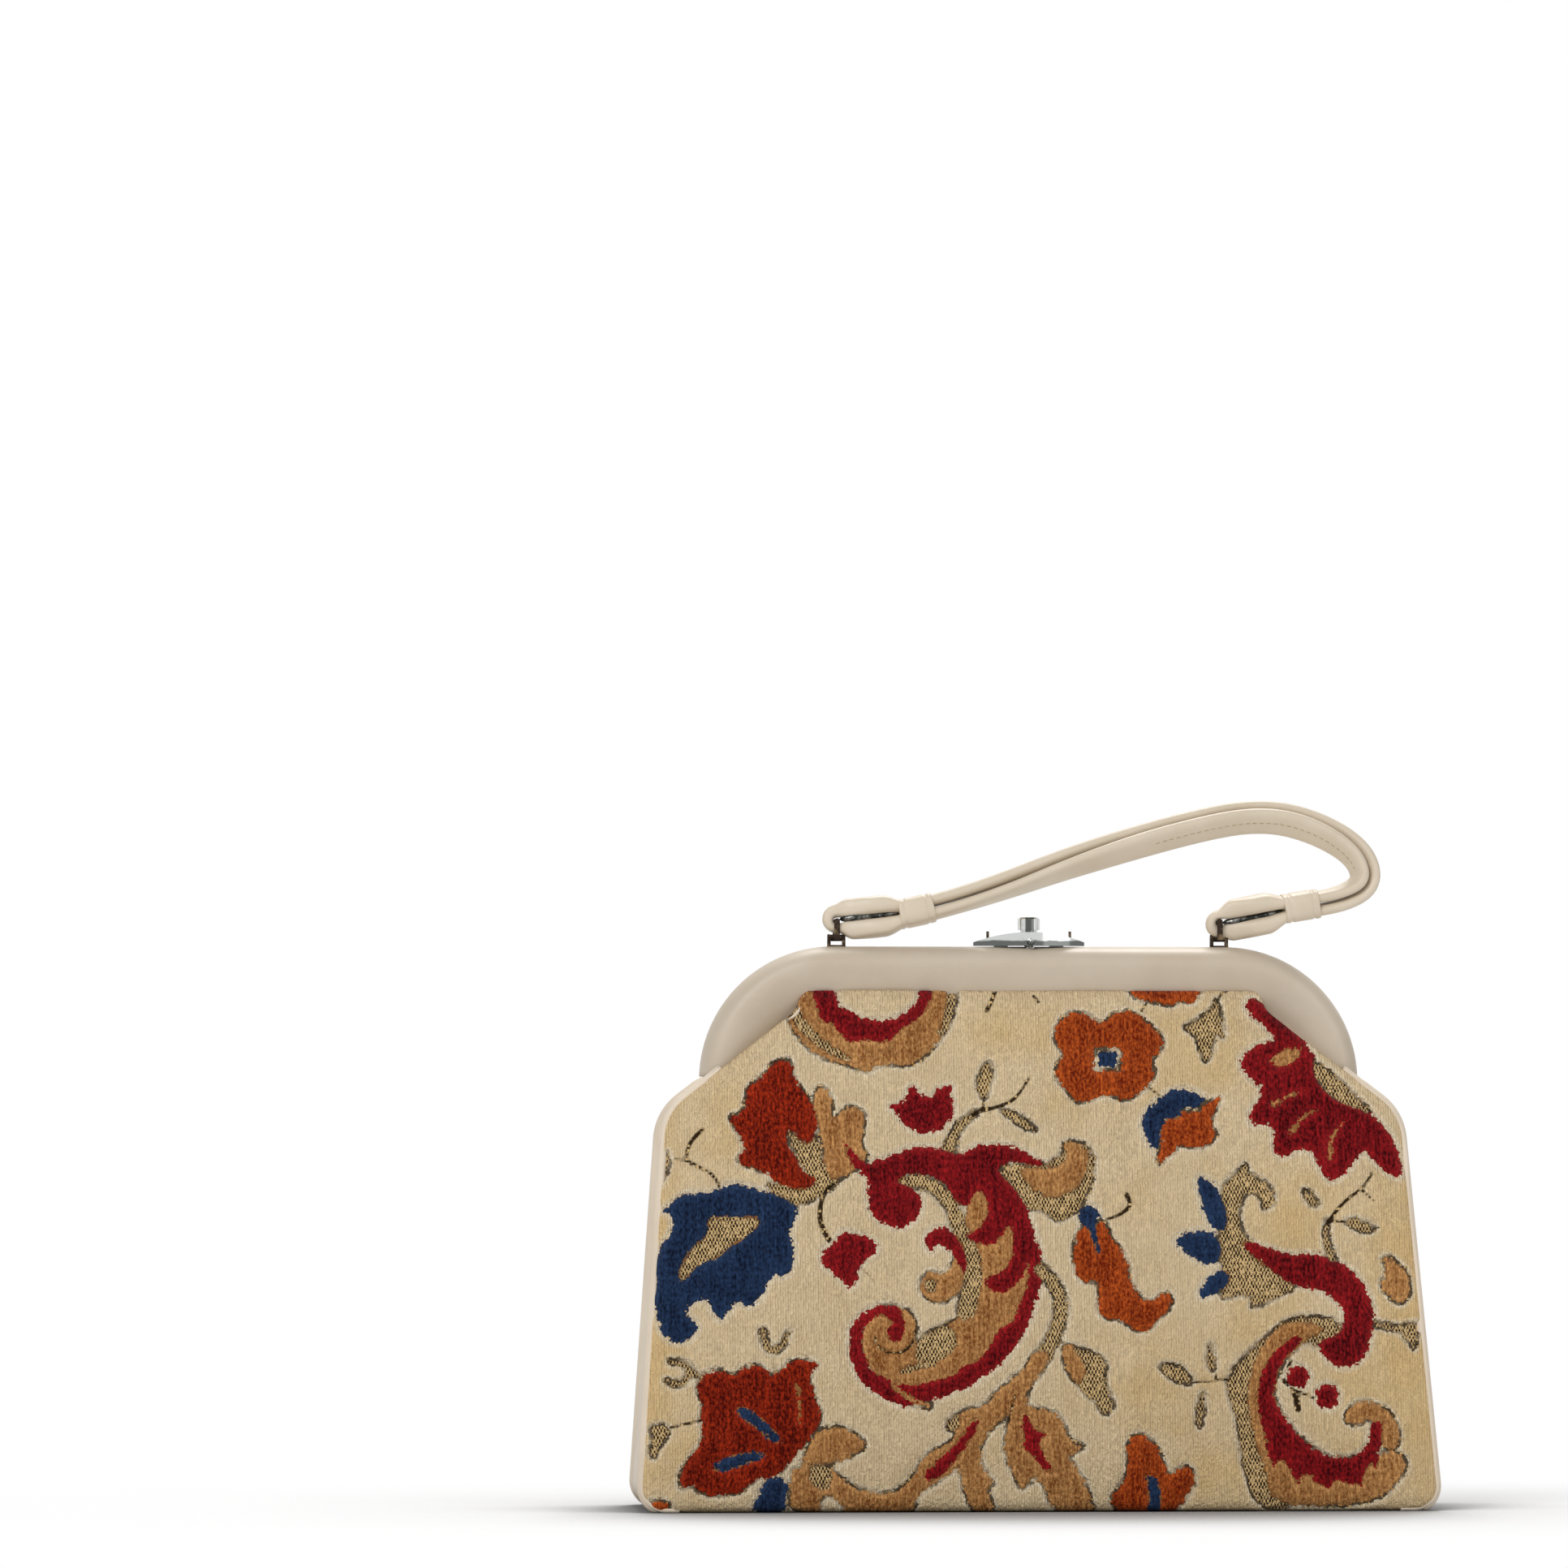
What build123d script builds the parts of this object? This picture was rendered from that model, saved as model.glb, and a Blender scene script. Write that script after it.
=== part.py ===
"""Carpet handbag with a hinged frame: carpet panels, leather gussets, turn clasp and strap handle.

Millimetres. +X is to the right as seen from the front, -Y is the front, +Z is up.
The origin is the middle of the base, on the surface that the bag stands on.
"""

import os
from math import atan2, cos, degrees, radians, sin, tan

from build123d import *

# Body
base_width = 285.0
base_depth = 80.0
base_corner = 9.0
hinge_height = 152.0
shoulder_overhang = 16.2
shoulder_drop = 10.8
shoulder_round = 20.0
neck_setback = 31.5
neck_drop = 7.5
neck_round = 8.0
mouth_setback = 34.0
mouth_round = 1.5
carpet_thickness = 3.5
gusset_thickness = 1.8
fold_drop = 14.0
fold_rise = 8.0
gusset_fold_drop = 2.0

# Inside of the body
board_thickness = 2.5
lining_thickness = 0.8
lining_drop = 22.0
soft_clearance = 0.3

# Frame
frame_half_width = 116.0
frame_rise = 48.5
frame_corner = 45.5
frame_half_depth = 10.5
frame_band = 15.0
frame_leg_width = 20.0
frame_inner_corner = 30.0
frame_edge_round = 5.0
frame_seam = 0.2
cover_thickness = 2.0
steel_thickness = 1.6
steel_setback = 4.0

# Hinge
ear_radius = 3.4
ear_thickness = 1.5
ear_gap = 0.3
ear_inset = 5.3
ear_clearance = 1.2
ear_arm = 9.0
ear_arm_setback = 0.6
rivet_radius = 1.5
rivet_head_radius = 2.6
rivet_head = 1.0
running_clearance = 0.05

# Clasp
clasp_length = 40.0
clasp_width = 13.0
clasp_edge = 1.3
clasp_crown = 4.8
clasp_lift = 0.3
clasp_foot_near = 7.5
clasp_foot_length = 5.0
clasp_foot_depth = 3.6
knob_radius = 4.0
knob_height = 5.4
knob_edge = 0.6
knob_waist_radius = 3.1
knob_waist = 1.2
stem_radius = 1.6
cam_length = 10.0
cam_width = 3.2
cam_thickness = 1.0
cam_pocket = 12.0
cam_pocket_depth = 1.8
cam_drop = 0.3
clasp_pin_radius = 0.5
clasp_pin_height = 5.2
clasp_pin_place = 14.8
bead_radius = 1.3

# Handle
lug_inset = 1.5
handle_setback = 2.8
lug_length = 6.4
lug_depth = 3.2
lug_base = 0.6
lug_ear = 1.1
lug_pin_radius = 0.7
lug_pin_height = 3.15
lug_eye_radius = 1.3
barrel_radius = 1.2
barrel_clearance = 0.15
link_bar_radius = 1.0
link_arm = 1.0
link_foot = 0.6
link_clearance = 0.2
strap_width = 10.5
strap_thickness = 3.5
strap_gap = 0.8
strap_tab_width = 5.0
strap_tab_length = 7.0
strap_side_clearance = 0.3
handle_rise = 38.6
keeper_length = 14.0
keeper_wall = 1.2
strap_bend_share = 0.45
left_keeper_share = 0.89
right_keeper_share = 0.115
handle_route_shares = [
    (1.000, 0.000), (1.377, 0.140), (1.645, 0.207), (1.790, 0.373), (1.732, 0.658), (1.507, 0.891),
    (1.246, 1.000), (0.928, 0.922), (0.290, 0.596), (-0.217, 0.269), (-0.652, 0.052), (-1.000, 0.000),
]

# Carpet pattern: the photograph's pixels, and the pixels of the sizes that they follow
pile_height = 1.1
pile_margin = 1.2
base_width_pixels = 991.0
panel_height_pixels = 645.0
panel_centre_pixels = 1272.0
floor_pixels = 1865.0
scroll_pixels = 30.0
inner_scroll_pixels = 30.0
hook_pixels = 18.0
right_scroll_pixels = 28.0
lower_scroll_pixels = 32.0
stem_pixels = 14.0
bottom_stem_pixels = 16.0
ball_pixels = 30.0
right_ball_pixels = 26.0
small_flower_pixels = 31.0
berry_pixels = 13.0
petal_pixels = 33.0
lower_petal_pixels = 31.0
half_flower_pixels = 100.0
half_flower_gap_pixels = 74.0
half_flower_ring_pixels = 70.0
half_flower_eye_pixels = 37.0
scroll_bend_share = 0.45

# Worked out from the sizes above
base_half = base_width / 2
depth_half = base_depth / 2
frame_top = hinge_height + frame_rise
frame_inner_top = frame_top - frame_band
frame_inner_half = frame_half_width - frame_leg_width
leg_end = hinge_height + ear_radius + ear_clearance
shoulder_half = frame_half_width + shoulder_overhang
neck_half = frame_half_width - neck_setback
mouth_half = frame_half_width - mouth_setback
fold_low = hinge_height - fold_drop
fold_high = hinge_height + fold_rise
gusset_top = hinge_height - gusset_fold_drop
lining_top = hinge_height - lining_drop
lean = degrees(atan2(depth_half - frame_half_depth, frame_inner_top))
pivot_height = frame_top + lug_pin_height
lug_half = frame_half_width - frame_corner - lug_inset
strap_half = strap_thickness + strap_gap / 2
loop_inner = link_bar_radius + running_clearance
loop_outer = loop_inner + strap_thickness
bar_height = pivot_height + barrel_radius + link_clearance + loop_outer
clasp_seat = frame_top + clasp_lift
knob_seat = clasp_seat + clasp_crown

# Planes of the leaning carpet panels: outer faces, looking outwards
front_face = Plane(
    origin=(0, -depth_half, 0), x_dir=(1, 0, 0), z_dir=(0, -cos(radians(lean)), sin(radians(lean)))
)
back_face = Plane(
    origin=(0, depth_half, 0), x_dir=(-1, 0, 0), z_dir=(0, cos(radians(lean)), sin(radians(lean)))
)
handle_plane = Plane.XZ.offset(-handle_setback)


def level(height):
    """Return the horizontal plane at a height."""
    return Plane.XY.offset(height)


def bend_radii(points, share):
    """Return one fillet radius for each inner corner, as large as the runs beside it allow."""
    radii = []
    for before, corner, after in zip(points, points[1:], points[2:]):
        run_in = Vector(*corner) - Vector(*before)
        run_out = Vector(*after) - Vector(*corner)
        half_turn = radians(run_in.get_angle(run_out)) / 2
        radii.append(share * min(run_in.length, run_out.length) / tan(half_turn))
    return radii


def body_outline(inset):
    """Return the bag's front outline, set in by a distance, as seen from the front."""
    right = [
        (base_half, 0),
        (shoulder_half, hinge_height - shoulder_drop),
        (neck_half, frame_inner_top - neck_drop),
        (mouth_half, frame_inner_top),
    ]
    left = [(-x, z) for x, z in reversed(right)]
    rounds = [base_corner, shoulder_round, neck_round, mouth_round]
    with BuildSketch() as sketch:
        with BuildLine():
            FilletPolyline(*right, *left, radius=rounds + rounds[::-1], close=True)
        make_face()
        if inset:
            offset(amount=-inset, mode=Mode.REPLACE)
    return sketch.sketch


def body_slab(outer, inner, low, high):
    """Return the part of the body between two planes and two heights, with the front outline."""
    with BuildPart() as slab:
        with BuildSketch(Plane.XZ):
            add(body_outline(0))
        extrude(amount=base_depth, both=True)
        split(bisect_by=outer, keep=Keep.BOTTOM)
        split(bisect_by=inner, keep=Keep.TOP)
        split(bisect_by=level(low), keep=Keep.TOP)
        split(bisect_by=level(high), keep=Keep.BOTTOM)
    return slab.part


def body_core(outline_inset, panel_inset, low, high):
    """Return the solid between the leaning panels, inside the outline, between two heights."""
    with BuildPart() as core:
        with BuildSketch(Plane.XZ):
            add(body_outline(outline_inset))
        extrude(amount=base_depth, both=True)
        split(bisect_by=front_face.offset(-panel_inset), keep=Keep.BOTTOM)
        split(bisect_by=back_face.offset(-panel_inset), keep=Keep.BOTTOM)
        split(bisect_by=level(low), keep=Keep.TOP)
        split(bisect_by=level(high), keep=Keep.BOTTOM)
    return core.part


def finish(part, name):
    """Label a finished piece and write it."""
    part.label = name
    export_step(part, f"parts/{name}.step")


os.makedirs("parts", exist_ok=True)

# Carpet panels: the lower front, the fold below the frame, the mouth on the front frame, and the back
with BuildPart() as front_panel:
    add(body_slab(front_face, front_face.offset(-carpet_thickness), 0, fold_low))
finish(front_panel.part, "front_panel")

with BuildPart() as front_fold:
    add(body_slab(front_face, front_face.offset(-carpet_thickness), fold_low, fold_high))
finish(front_fold.part, "front_fold")

with BuildPart() as mouth_panel:
    add(body_slab(front_face, front_face.offset(-carpet_thickness), fold_high, frame_top))
finish(mouth_panel.part, "mouth_panel")

with BuildPart() as back_panel:
    add(body_slab(back_face, back_face.offset(-carpet_thickness), 0, frame_top))
finish(back_panel.part, "back_panel")

# Leather strip round the body: the base and a gusset at each side
with BuildPart() as strip:
    add(body_core(0, carpet_thickness, 0, gusset_top))
    add(body_core(gusset_thickness, carpet_thickness, 0, frame_top), mode=Mode.SUBTRACT)

base_end = base_half - base_corner
with BuildPart() as base_panel:
    add(strip.part)
    split(bisect_by=Plane.YZ.offset(-base_end), keep=Keep.TOP)
    split(bisect_by=Plane.YZ.offset(base_end), keep=Keep.BOTTOM)
    split(bisect_by=level(base_corner), keep=Keep.BOTTOM)
finish(base_panel.part, "base_panel")

for side_name, side_cut, side_keep in (("left", -base_end, Keep.BOTTOM), ("right", base_end, Keep.TOP)):
    with BuildPart() as gusset_foot:
        add(strip.part)
        split(bisect_by=Plane.YZ.offset(side_cut), keep=side_keep)
        split(bisect_by=level(base_corner), keep=Keep.BOTTOM)
    with BuildPart() as gusset_side:
        add(strip.part)
        split(bisect_by=Plane.YZ, keep=side_keep)
        split(bisect_by=level(base_corner), keep=Keep.TOP)
    with BuildPart() as gusset:
        add(gusset_side.part)
        split(bisect_by=level(fold_low), keep=Keep.BOTTOM)
        add(gusset_foot.part)
    finish(gusset.part, f"gusset_{side_name}")
    with BuildPart() as gusset_fold:
        add(gusset_side.part)
        split(bisect_by=level(fold_low), keep=Keep.TOP)
    finish(gusset_fold.part, f"gusset_fold_{side_name}")

# Stiff board on the base, and the cloth lining over it
board_top = gusset_thickness + board_thickness
with BuildPart() as base_board:
    add(body_core(gusset_thickness, carpet_thickness + soft_clearance, gusset_thickness, board_top))
    split(bisect_by=Plane.YZ.offset(-base_end), keep=Keep.TOP)
    split(bisect_by=Plane.YZ.offset(base_end), keep=Keep.BOTTOM)
finish(base_board.part, "base_board")

lining_inset = gusset_thickness + soft_clearance
lining_panel_inset = carpet_thickness + soft_clearance
lining_low = board_top + soft_clearance
with BuildPart() as lining:
    add(body_core(lining_inset, lining_panel_inset, lining_low, lining_top))
    add(
        body_core(
            lining_inset + lining_thickness,
            lining_panel_inset + lining_thickness,
            lining_low + lining_thickness,
            frame_top,
        ),
        mode=Mode.SUBTRACT,
    )
finish(lining.part, "lining")


def arch(half_width, top, corner):
    """Return an upright arch, round at its top corners, from below the hinge up."""
    foot = hinge_height - frame_rise
    with BuildSketch() as sketch:
        with BuildLine():
            FilletPolyline(
                (-half_width, foot), (-half_width, top), (half_width, top), (half_width, foot), radius=corner
            )
            Line((half_width, foot), (-half_width, foot))
        make_face()
    return sketch.sketch


def frame_ring(inset):
    """Return the frame's front outline, an arch with an arched opening, set in by a distance."""
    with BuildSketch() as sketch:
        add(arch(frame_half_width - inset, frame_top - inset, frame_corner - inset))
        add(
            arch(frame_inner_half + inset, frame_inner_top + inset, frame_inner_corner - inset),
            mode=Mode.SUBTRACT,
        )
    return sketch.sketch


def frame_steel(side, ear_place):
    """Return one half's steel strip, with a hinge ear at the end of each leg.

    side is -1 for the front half and 1 for the rear one, ear_place the ear's inner face along X.
    """
    strip_middle = side * steel_setback
    arm_low, arm_high = sorted((side * ear_arm_setback, side * (steel_setback + steel_thickness / 2)))
    with BuildPart() as steel:
        with BuildSketch(Plane.XZ.offset(-strip_middle)):
            add(frame_ring(cover_thickness))
        extrude(amount=steel_thickness / 2, both=True)
        split(bisect_by=level(leg_end), keep=Keep.TOP)
        for ear_low in (ear_place, -ear_place - ear_thickness):
            with BuildSketch(Plane.YZ.offset(ear_low)):
                with Locations((0, hinge_height)):
                    Circle(ear_radius)
                with Locations(((arm_low + arm_high) / 2, hinge_height + ear_arm / 2)):
                    Rectangle(arm_high - arm_low, ear_arm)
            extrude(amount=ear_thickness)
            hole_radius = rivet_radius + (running_clearance if side < 0 else 0)
            with BuildSketch(Plane.YZ.offset(ear_low)):
                with Locations((0, hinge_height)):
                    Circle(hole_radius)
            extrude(amount=ear_thickness, mode=Mode.SUBTRACT)
    return steel.part


def frame_cover(side, steel, panel):
    """Return one half's leather cover, cut out for its steel strip, its panel and the clasp's cam."""
    with BuildPart() as cover:
        with BuildSketch(Plane.XZ.offset(-side * frame_seam)):
            add(frame_ring(0))
        extrude(amount=-side * (frame_half_depth - frame_seam))
        split(bisect_by=level(leg_end), keep=Keep.TOP)
        outer_face = cover.faces().sort_by(Axis.Y)[0 if side < 0 else -1]
        top_edge = outer_face.edges().filter_by(GeomType.LINE).sort_by(Axis.Z)[-1:]
        corner_edges = outer_face.edges().filter_by(GeomType.CIRCLE).sort_by(SortBy.RADIUS)[-2:]
        fillet(top_edge + corner_edges, radius=frame_edge_round)
        with BuildSketch(level(frame_top)):
            Rectangle(cam_pocket, cam_pocket)
        extrude(amount=-cam_pocket_depth, mode=Mode.SUBTRACT)
        add(steel, mode=Mode.SUBTRACT)
        add(panel, mode=Mode.SUBTRACT)
    return cover.part


# Two halves of the frame, hinged at the ends of their legs
rear_ear_place = frame_half_width - ear_inset + ear_thickness + ear_gap
front_ear_place = frame_half_width - ear_inset
front_frame_steel = frame_steel(-1, front_ear_place)
rear_frame_steel = frame_steel(1, rear_ear_place)
finish(front_frame_steel, "front_frame_steel")
finish(rear_frame_steel, "rear_frame_steel")
finish(frame_cover(-1, front_frame_steel, mouth_panel.part), "front_frame_cover")
finish(frame_cover(1, rear_frame_steel, back_panel.part), "rear_frame_cover")

rivet_end = rear_ear_place + ear_thickness
with BuildPart() as hinge_rivets:
    for rivet_side in (-1, 1):
        for place, length, radius in (
            (front_ear_place, rivet_end - front_ear_place, rivet_radius),
            (rivet_end, rivet_head, rivet_head_radius),
            (front_ear_place - running_clearance, -rivet_head, rivet_head_radius),
            (front_ear_place, -running_clearance, rivet_radius),
        ):
            with BuildSketch(Plane.YZ.offset(rivet_side * place)):
                with Locations((0, hinge_height)):
                    Circle(radius)
            extrude(amount=rivet_side * length)
finish(hinge_rivets.part, "hinge_rivets")

# Clasp: a boat-shaped plate on the rear half, the turning knob with its cam, two pins and a bead
with BuildPart() as clasp_plate:
    with BuildSketch(level(clasp_seat)):
        with BuildLine():
            ThreePointArc((-clasp_length / 2, 0), (0, -clasp_width / 2), (clasp_length / 2, 0))
            ThreePointArc((clasp_length / 2, 0), (0, clasp_width / 2), (-clasp_length / 2, 0))
        make_face()
    extrude(amount=clasp_crown)
    with BuildSketch(Plane.XZ):
        with BuildLine():
            edge_top = clasp_seat + clasp_edge
            Line((-clasp_length / 2, clasp_seat), (clasp_length / 2, clasp_seat))
            Line((clasp_length / 2, clasp_seat), (clasp_length / 2, edge_top))
            ThreePointArc((clasp_length / 2, edge_top), (0, knob_seat), (-clasp_length / 2, edge_top))
            Line((-clasp_length / 2, edge_top), (-clasp_length / 2, clasp_seat))
        make_face()
    extrude(amount=clasp_width, both=True, mode=Mode.INTERSECT)
    foot_middle = clasp_foot_near + clasp_foot_length / 2
    with BuildSketch(level(frame_top)):
        with Locations(
            (-foot_middle, frame_seam + clasp_foot_depth / 2), (foot_middle, frame_seam + clasp_foot_depth / 2)
        ):
            Rectangle(clasp_foot_length, clasp_foot_depth)
    extrude(amount=clasp_lift)
    with BuildSketch(level(clasp_seat)):
        Circle(stem_radius + running_clearance)
    extrude(amount=clasp_crown, mode=Mode.SUBTRACT)
    with BuildSketch(level(knob_seat)):
        Circle(knob_radius + running_clearance)
    extrude(amount=-clasp_lift, mode=Mode.SUBTRACT)
    with BuildSketch(level(clasp_seat)):
        with Locations((-clasp_pin_place, 0), (clasp_pin_place, 0)):
            Circle(clasp_pin_radius)
    extrude(amount=clasp_crown, mode=Mode.SUBTRACT)
finish(clasp_plate.part, "clasp_plate")

cam_top = frame_top - cam_drop
knob_low = knob_seat - clasp_lift + running_clearance
knob_top = knob_seat + knob_height
with BuildPart() as clasp_knob:
    with BuildSketch(level(cam_top)):
        Circle(stem_radius)
    extrude(amount=knob_low - cam_top)
    with BuildSketch(level(knob_low)):
        Circle(knob_waist_radius)
    extrude(amount=knob_waist)
    with BuildSketch(level(knob_low + knob_waist)):
        Circle(knob_radius)
    extrude(amount=knob_top - knob_low - knob_waist)
    chamfer(clasp_knob.faces().sort_by(Axis.Z)[-1].edges(), length=knob_edge)
finish(clasp_knob.part, "clasp_knob")

with BuildPart() as clasp_cam:
    with BuildSketch(level(cam_top)) as cam_face:
        Rectangle(cam_width, cam_length)
        fillet(cam_face.vertices(), radius=knob_edge)
    extrude(amount=-cam_thickness)
finish(clasp_cam.part, "clasp_cam")

with BuildPart() as clasp_pins:
    with BuildSketch(level(clasp_seat)):
        with Locations((-clasp_pin_place, 0), (clasp_pin_place, 0)):
            Circle(clasp_pin_radius)
    extrude(amount=clasp_pin_height)
finish(clasp_pins.part, "clasp_pins")

bead_place = clasp_width / 2 + bead_radius
with BuildPart() as clasp_bead:
    with Locations((0, -bead_place, clasp_seat + bead_radius)):
        Sphere(bead_radius)
    with BuildSketch(Plane.XZ.offset(bead_place)):
        with Locations((0, clasp_seat + bead_radius)):
            Circle(bead_radius / 2)
    extrude(amount=-bead_radius)
    add(clasp_plate.part, mode=Mode.SUBTRACT)
finish(clasp_bead.part, "clasp_bead")

# Handle lugs on the rear half, each with two ears and a pin along X
ear_place = (lug_length - lug_ear) / 2
with BuildPart() as handle_lugs:
    with BuildSketch(level(frame_top)):
        with Locations((-lug_half, handle_setback), (lug_half, handle_setback)):
            Rectangle(lug_length, lug_depth)
    extrude(amount=lug_base)
    for lug_side in (-1, 1):
        for ear_side in (-1, 1):
            ear_middle = lug_side * lug_half + ear_side * ear_place
            with BuildSketch(Plane.YZ.offset(ear_middle)):
                with Locations((handle_setback, pivot_height)):
                    Circle(lug_eye_radius)
                with Locations((handle_setback, frame_top + lug_pin_height / 2)):
                    Rectangle(2 * lug_eye_radius, lug_pin_height)
                with Locations((handle_setback, pivot_height)):
                    Circle(lug_pin_radius, mode=Mode.SUBTRACT)
            extrude(amount=lug_ear / 2, both=True)
finish(handle_lugs.part, "handle_lugs")

with BuildPart() as lug_pins:
    for lug_side in (-1, 1):
        with BuildSketch(Plane.YZ.offset(lug_side * lug_half)):
            with Locations((handle_setback, pivot_height)):
                Circle(lug_pin_radius)
        extrude(amount=lug_length / 2, both=True)
finish(lug_pins.part, "lug_pins")

# Links: a barrel on the lug's pin, two arms and a bar across the strap's end loop
link_half = strap_tab_width / 2 + strap_side_clearance + link_arm
barrel_half = (lug_length - 2 * lug_ear) / 2 - barrel_clearance
link_opening = bar_height - pivot_height - link_foot
for side_name, link_place in (("left", -lug_half), ("right", lug_half)):
    with BuildPart() as link:
        with BuildSketch(Plane.YZ.offset(link_place)):
            with Locations((handle_setback, (pivot_height - link_foot + bar_height) / 2)):
                Rectangle(2 * link_half, bar_height - pivot_height + link_foot)
            with Locations((handle_setback, bar_height - link_opening / 2)):
                Rectangle(2 * (link_half - link_arm), link_opening, mode=Mode.SUBTRACT)
        extrude(amount=link_bar_radius, both=True)
        with BuildSketch(Plane.YZ.offset(link_place)):
            with Locations((handle_setback, pivot_height)):
                Circle(barrel_radius)
        extrude(amount=barrel_half, both=True)
        with BuildSketch(handle_plane):
            with Locations((link_place, bar_height)):
                Circle(link_bar_radius)
        extrude(amount=link_half, both=True)
        with BuildSketch(Plane.YZ.offset(link_place)):
            with Locations((handle_setback, pivot_height)):
                Circle(lug_pin_radius + running_clearance)
        extrude(amount=lug_length, both=True, mode=Mode.SUBTRACT)
    finish(link.part, f"link_{side_name}")

# Strap: one closed loop of leather in two strands, led round the bar of each link
handle_route = [(x * lug_half, bar_height + z * handle_rise) for x, z in handle_route_shares]
with BuildLine() as strap_line:
    FilletPolyline(*handle_route, radius=bend_radii(handle_route, strap_bend_share))
strap_wire = strap_line.wires()[0]


def strap_face(strand_half, loop_radius):
    """Return the strap's path as a band with a round end about each link's bar."""
    with BuildSketch() as sketch:
        trace(strap_wire, line_width=2 * strand_half)
        with Locations(handle_route[0], handle_route[-1]):
            Circle(loop_radius)
    return sketch.sketch


def strap_solid(extra, width):
    """Return the strap's outer form, thickened by a distance, over a width."""
    with BuildPart() as solid:
        with BuildSketch(handle_plane):
            add(strap_face(strap_half + extra, loop_outer + extra))
        extrude(amount=width / 2, both=True)
    return solid.part


strap_form = strap_solid(0, strap_width)
with BuildPart() as handle_strap:
    add(strap_form)
    with BuildSketch(handle_plane):
        add(strap_face(strap_gap / 2, loop_inner))
    extrude(amount=strap_width, both=True, mode=Mode.SUBTRACT)
    for tab_side in (-1, 1):
        with BuildSketch(handle_plane.offset(tab_side * strap_tab_width / 2)):
            with Locations(handle_route[0], handle_route[-1]):
                Rectangle(2 * strap_tab_length, 4 * loop_outer)
        extrude(amount=tab_side * strap_width, mode=Mode.SUBTRACT)
finish(handle_strap.part, "handle_strap")

for side_name, place_share in (("left", left_keeper_share), ("right", right_keeper_share)):
    run = strap_wire % place_share
    spot_on_strap = strap_wire @ place_share
    run_plane = Plane(
        origin=(spot_on_strap.X, handle_setback, spot_on_strap.Y),
        x_dir=(run.X, 0, run.Y),
        z_dir=(0, -1, 0),
    )
    keeper_height = 2 * (strap_half + keeper_wall)
    with BuildPart() as keeper:
        add(strap_solid(keeper_wall, strap_width + 2 * keeper_wall))
        with BuildSketch(run_plane):
            Rectangle(keeper_length, 2 * keeper_height)
        extrude(amount=strap_width, both=True, mode=Mode.INTERSECT)
        add(strap_form, mode=Mode.SUBTRACT)
    finish(keeper.part, f"keeper_{side_name}")


def spot(pixel):
    """Return a pixel's place on a carpet panel, across and up the panel from the base's middle."""
    across = (pixel[0] - panel_centre_pixels) * base_width / base_width_pixels
    up = (floor_pixels - pixel[1]) * frame_inner_top / panel_height_pixels
    return across, up / cos(radians(lean))


def patch(*pixels):
    """Return a field of pile with straight edges."""
    with BuildSketch() as sketch:
        with BuildLine():
            Polyline(*[spot(pixel) for pixel in pixels], close=True)
        make_face()
    return sketch.sketch


def disc(pixel, radius_pixels, hole_pixels=0):
    """Return a round field of pile, with a round hole if one is given."""
    pixel_size = base_width / base_width_pixels
    with BuildSketch() as sketch:
        with Locations(spot(pixel)):
            Circle(radius_pixels * pixel_size)
            if hole_pixels:
                Circle(hole_pixels * pixel_size, mode=Mode.SUBTRACT)
    return sketch.sketch


def tendril(width_pixels, *pixels):
    """Return a curved band of pile through pixels."""
    pixel_size = base_width / base_width_pixels
    points = [spot(pixel) for pixel in pixels]
    with BuildLine() as line:
        FilletPolyline(*points, radius=bend_radii(points, scroll_bend_share))
    with BuildSketch() as sketch:
        trace(line.wires()[0], line_width=width_pixels * pixel_size)
        with Locations(points[0], points[-1]):
            Circle(width_pixels * pixel_size / 2)
    return sketch.sketch


# Fields of the pattern, by colour: scrolls, flowers and leaves
crimson_fields = [
    tendril(
        scroll_pixels, (1040, 1408), (1085, 1442), (1175, 1412), (1262, 1470), (1290, 1560), (1240, 1675), (1125, 1732),
        (1045, 1690), (1052, 1622), (1105, 1606), (1114, 1645),
    ),
    disc((1105, 1490), ball_pixels),
    tendril(hook_pixels, (1148, 1524), (1182, 1528), (1186, 1562), (1160, 1570)),
    disc((1047, 1555), small_flower_pixels),
    patch(
        (1094, 1352), (1112, 1340), (1128, 1352), (1140, 1333), (1152, 1350), (1178, 1338), (1176, 1362),
        (1160, 1388), (1130, 1396), (1108, 1384),
    ),
    patch(
        (1546, 1232), (1600, 1262), (1660, 1310), (1715, 1380), (1737, 1455), (1700, 1428), (1652, 1456),
        (1622, 1420), (1586, 1426), (1580, 1385), (1546, 1376), (1558, 1340), (1536, 1308), (1566, 1290),
    ),
    tendril(right_scroll_pixels, (1543, 1537), (1622, 1545), (1690, 1578), (1694, 1650), (1655, 1672)),
    disc((1655, 1670), right_ball_pixels),
    tendril(
        lower_scroll_pixels, (1599, 1650), (1556, 1709), (1566, 1786), (1622, 1826), (1694, 1806), (1705, 1749),
    ),
    disc((1604, 1703), berry_pixels),
    disc((1639, 1723), berry_pixels),
    disc((1078, 1225), half_flower_ring_pixels, half_flower_eye_pixels),
]
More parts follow.
